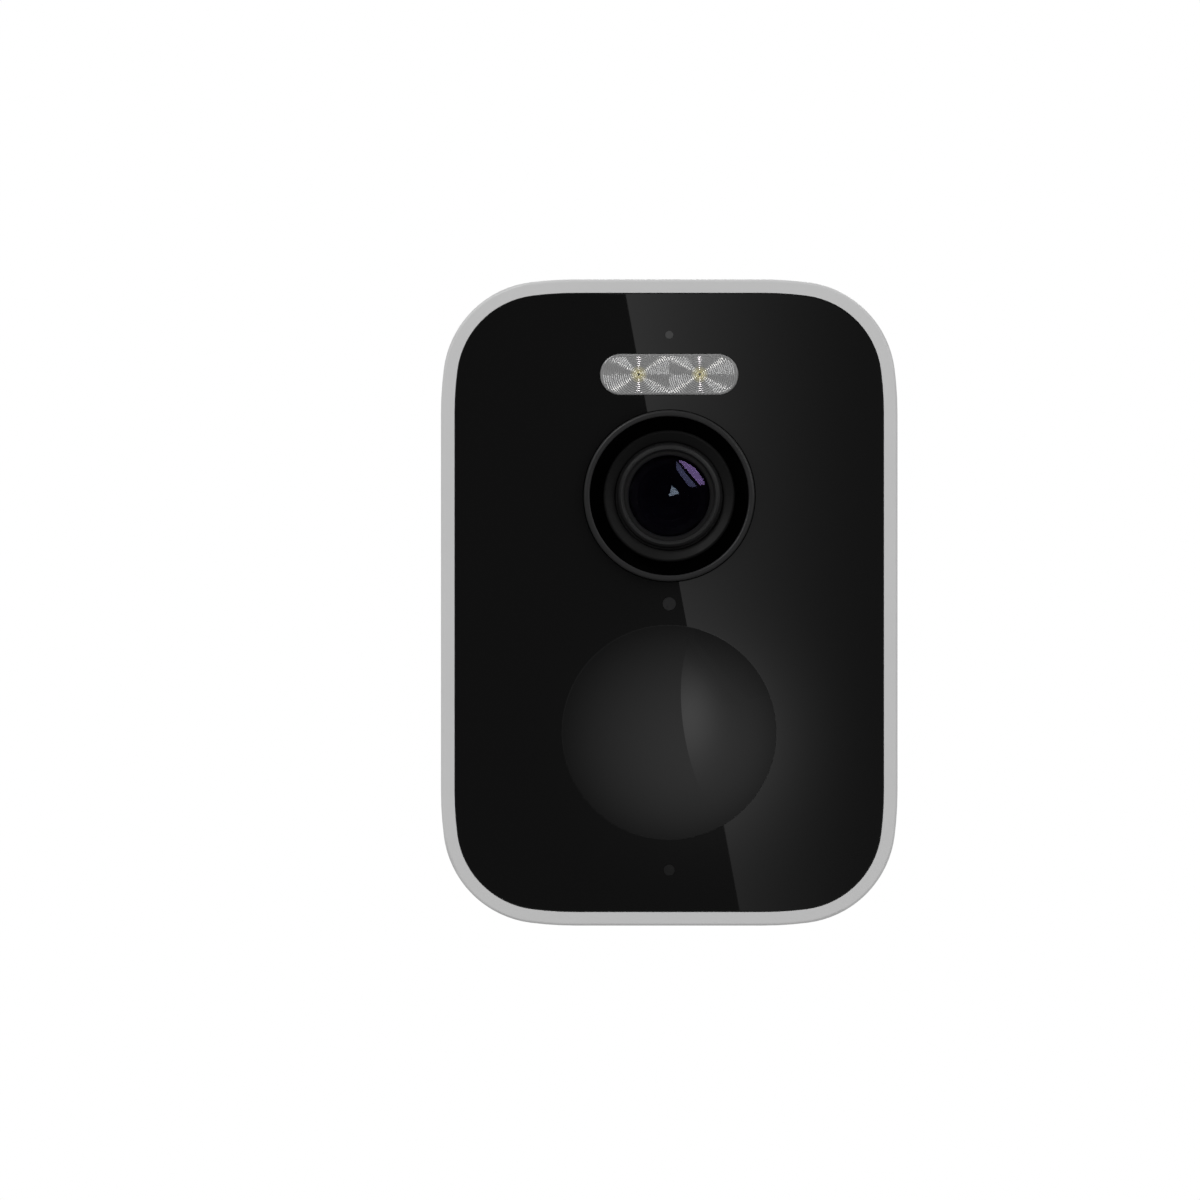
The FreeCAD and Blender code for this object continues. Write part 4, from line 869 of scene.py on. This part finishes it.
def sky_point(polar, azimuth, distance):
    """A point seen from the lens, polar degrees off its axis and azimuth degrees round it, anticlockwise from
    the right."""
    p, a = math.radians(polar), math.radians(azimuth)
    way = Vector((math.sin(p) * math.cos(a), -math.cos(p), math.sin(p) * math.sin(a)))
    return Vector((LENS.x, FRONT_LIP, LENS.z)) + way * distance


WINDOW_DISTANCE = 2.5


def window_pane(name, inner, outer, strength, colour, only):
    """One pane of the window that the lens reflects, between two rows of corners. Each corner is (polar,
    azimuth), as in sky_point. The pane is far away, because it would stop other lights' rays."""
    corners = [sky_point(*c, WINDOW_DISTANCE) for c in inner + outer]
    count = len(inner)
    faces = [(k, k + 1, count + k + 1, count + k) for k in range(count - 1)]
    mesh = bpy.data.meshes.new(name)
    mesh.from_pydata([tuple(c) for c in corners], [], faces)
    pane = bpy.data.objects.new(name, mesh)
    scene.collection.objects.link(pane)
    pane.visible_camera = False
    pane.visible_diffuse = False
    pane.visible_shadow = False
    pane.visible_transmission = False
    link_to(pane, only)
    glow = Finish(name, (0, 0, 0), 1.0, Emission_Color=(*colour, 1), Emission_Strength=strength)
    glow.on(pane)


def make_window(front_glass):
    """Two panes with a dark bar between them, reflected at the upper right of the front glass."""
    near = [(26.6, 25), (26.2, 39), (27.4, 53), (29.9, 65), (33.6, 74)]
    bar_low = [(35.2, 19), (33.3, 36), (34.4, 53), (38.3, 67.5), (44.4, 79)]
    bar_high = [(39.7, 20), (37.3, 33), (37.2, 48), (39.6, 62), (43.9, 73.5)]
    far = [(54, 18), (54, 33), (54, 48), (54, 62), (54, 76)]
    window_pane("window_high", bar_high, far, 3.4, (1.0, 0.95, 1.0), [front_glass])
    window_pane("window_low", near, bar_low, 1.35, (0.8, 1.2, 1.0), [front_glass])


GLINT_GAP = 100 * MM
# In degrees: the wedge's sides, anticlockwise from the right, and how far off the lens axis it reaches.
GLINT_SIDES = (15, 75)
GLINT_REACH = 62
# Fine stripes fan out in the wedge: how many in a full turn, and the brightness between and on them.
GLINT_STRIPES = 60
GLINT_LEVELS = (2.2, 3.4)
# The wedge's far part has another colour from this share of its reach.
GLINT_BAND = 0.6
GLINT_BAND_COLOUR = (0.12, 0.30, 0.30, 1)


def make_glint(front_glass):
    """A wedge of light that comes back from the second element: white, with a blue-green band at its end."""
    at = (LENS.x, FRONT_LIP - GLINT_GAP, LENS.z)
    card = Glow("lens_glint", at, 6 * GLINT_GAP, [front_glass])
    card.source.visible_glossy = False
    across = card.math("SUBTRACT", card.x, LENS.x)
    up = card.math("SUBTRACT", card.z, LENS.z)
    turn = card.math("ARCTAN2", up, across)
    away = card.distance(across, up)
    reach = GLINT_GAP * math.tan(math.radians(GLINT_REACH))
    lit = card.math("GREATER_THAN", turn, math.radians(GLINT_SIDES[0]))
    lit = card.math("MULTIPLY", lit, card.math("LESS_THAN", turn, math.radians(GLINT_SIDES[1])))
    lit = card.math("MULTIPLY", lit, card.math("LESS_THAN", away, reach))
    stripes = card.math("SINE", card.math("MULTIPLY", turn, GLINT_STRIPES))
    band = card.add("ShaderNodeMix", data_type="RGBA")
    card.join(card.math("GREATER_THAN", away, GLINT_BAND * reach), band.inputs["Factor"])
    band.inputs["A"].default_value = (1, 1, 1, 1)
    band.inputs["B"].default_value = GLINT_BAND_COLOUR
    card.join(band.outputs["Result"], card.emission.inputs["Color"])
    card.shine(card.math("MULTIPLY", lit, card.remap(stripes, *GLINT_LEVELS, -1.0, 1.0)))


RING_TILT = math.degrees(math.atan(RING_DEPTH / (RING_PITCH / 2)))
STREAK_DISTANCE = 0.6
STREAK_LENGTH = 0.22
# Lights that the lamp's rings turn into streaks: direction and width in degrees, brightness, and colour.
STREAKS = [
    (90, 10, 19.0, (1.0, 0.93, 0.97)),
    (37, 8, 12.0, (1.0, 0.98, 0.94)),
    (146, 7, 10.0, (1.0, 0.97, 0.95)),
    (8, 3, 9.0, (1.0, 1.0, 1.0)),
    (23, 26, 3.8, (1.0, 1.0, 1.0)),
    (136, 24, 4.2, (1.0, 1.0, 1.0)),
]


def make_lamp_lights(lamp):
    """Each light stands where the sloping sides of the grooves reflect it to the camera."""
    polar = 2 * RING_TILT
    ring = STREAK_DISTANCE * math.sin(math.radians(polar))
    for azimuth, width, brightness, colour in STREAKS:
        at = sky_point(polar, azimuth, STREAK_DISTANCE)
        size = (math.radians(width) * ring, STREAK_LENGTH)
        power = 4 * brightness * size[0] * size[1]
        light = softbox(f"streak_{azimuth}", at, size, power, [lamp], colour)
        outward = Vector((math.cos(math.radians(azimuth)), 0, math.sin(math.radians(azimuth))))
        face = (LAMP - at).normalized()
        tall = (outward - face * outward.dot(face)).normalized()
        side = tall.cross(-face)
        turn = Matrix((side, tall, -face)).transposed()
        light.rotation_euler = turn.to_euler()
        light.visible_diffuse = False


# Studio lights: name, place, size in metres and power in watts.
SOFT_LIGHTS = [
    ("key", (-0.9, -1.1, 1.1), (0.7, 0.7), 8.5),
    ("fill", (1.0, -0.9, 0.5), (0.8, 0.8), 2.6),
    ("back", (0.3, 1.1, 0.8), (0.8, 0.5), 5.0),
]


def make_lights(floor, lamp):
    """The gloss panel, the lens glass and the dome have lights of their own. The studio lights leave them out,
    and the retaining ring and the gasket too."""
    studio = [floor, lamp] + [piece for name, piece in nodes.items() if name != "front_panel"]
    for name, at, size, power in SOFT_LIGHTS:
        softbox(name, at, size, power, studio)
    softbox("barrel_light", (0.5, -0.9, 0.5), (0.5, 0.5), 4.5, [nodes["lens_barrel"]])


# ---------------------------------------------------------------- build

finish_casing()
finish_front()
finish_inside()
front_glass = build_lens_glass()
dome = build_dome()
lamp = build_lamp_lens()
make_camera()
make_world()
floor = make_floor()
make_panel_light()
make_dome_light(dome)
make_window(front_glass)
make_glint(front_glass)
make_lamp_lights(lamp)
make_lights(floor, lamp)
scene.view_settings.view_transform = "Standard"
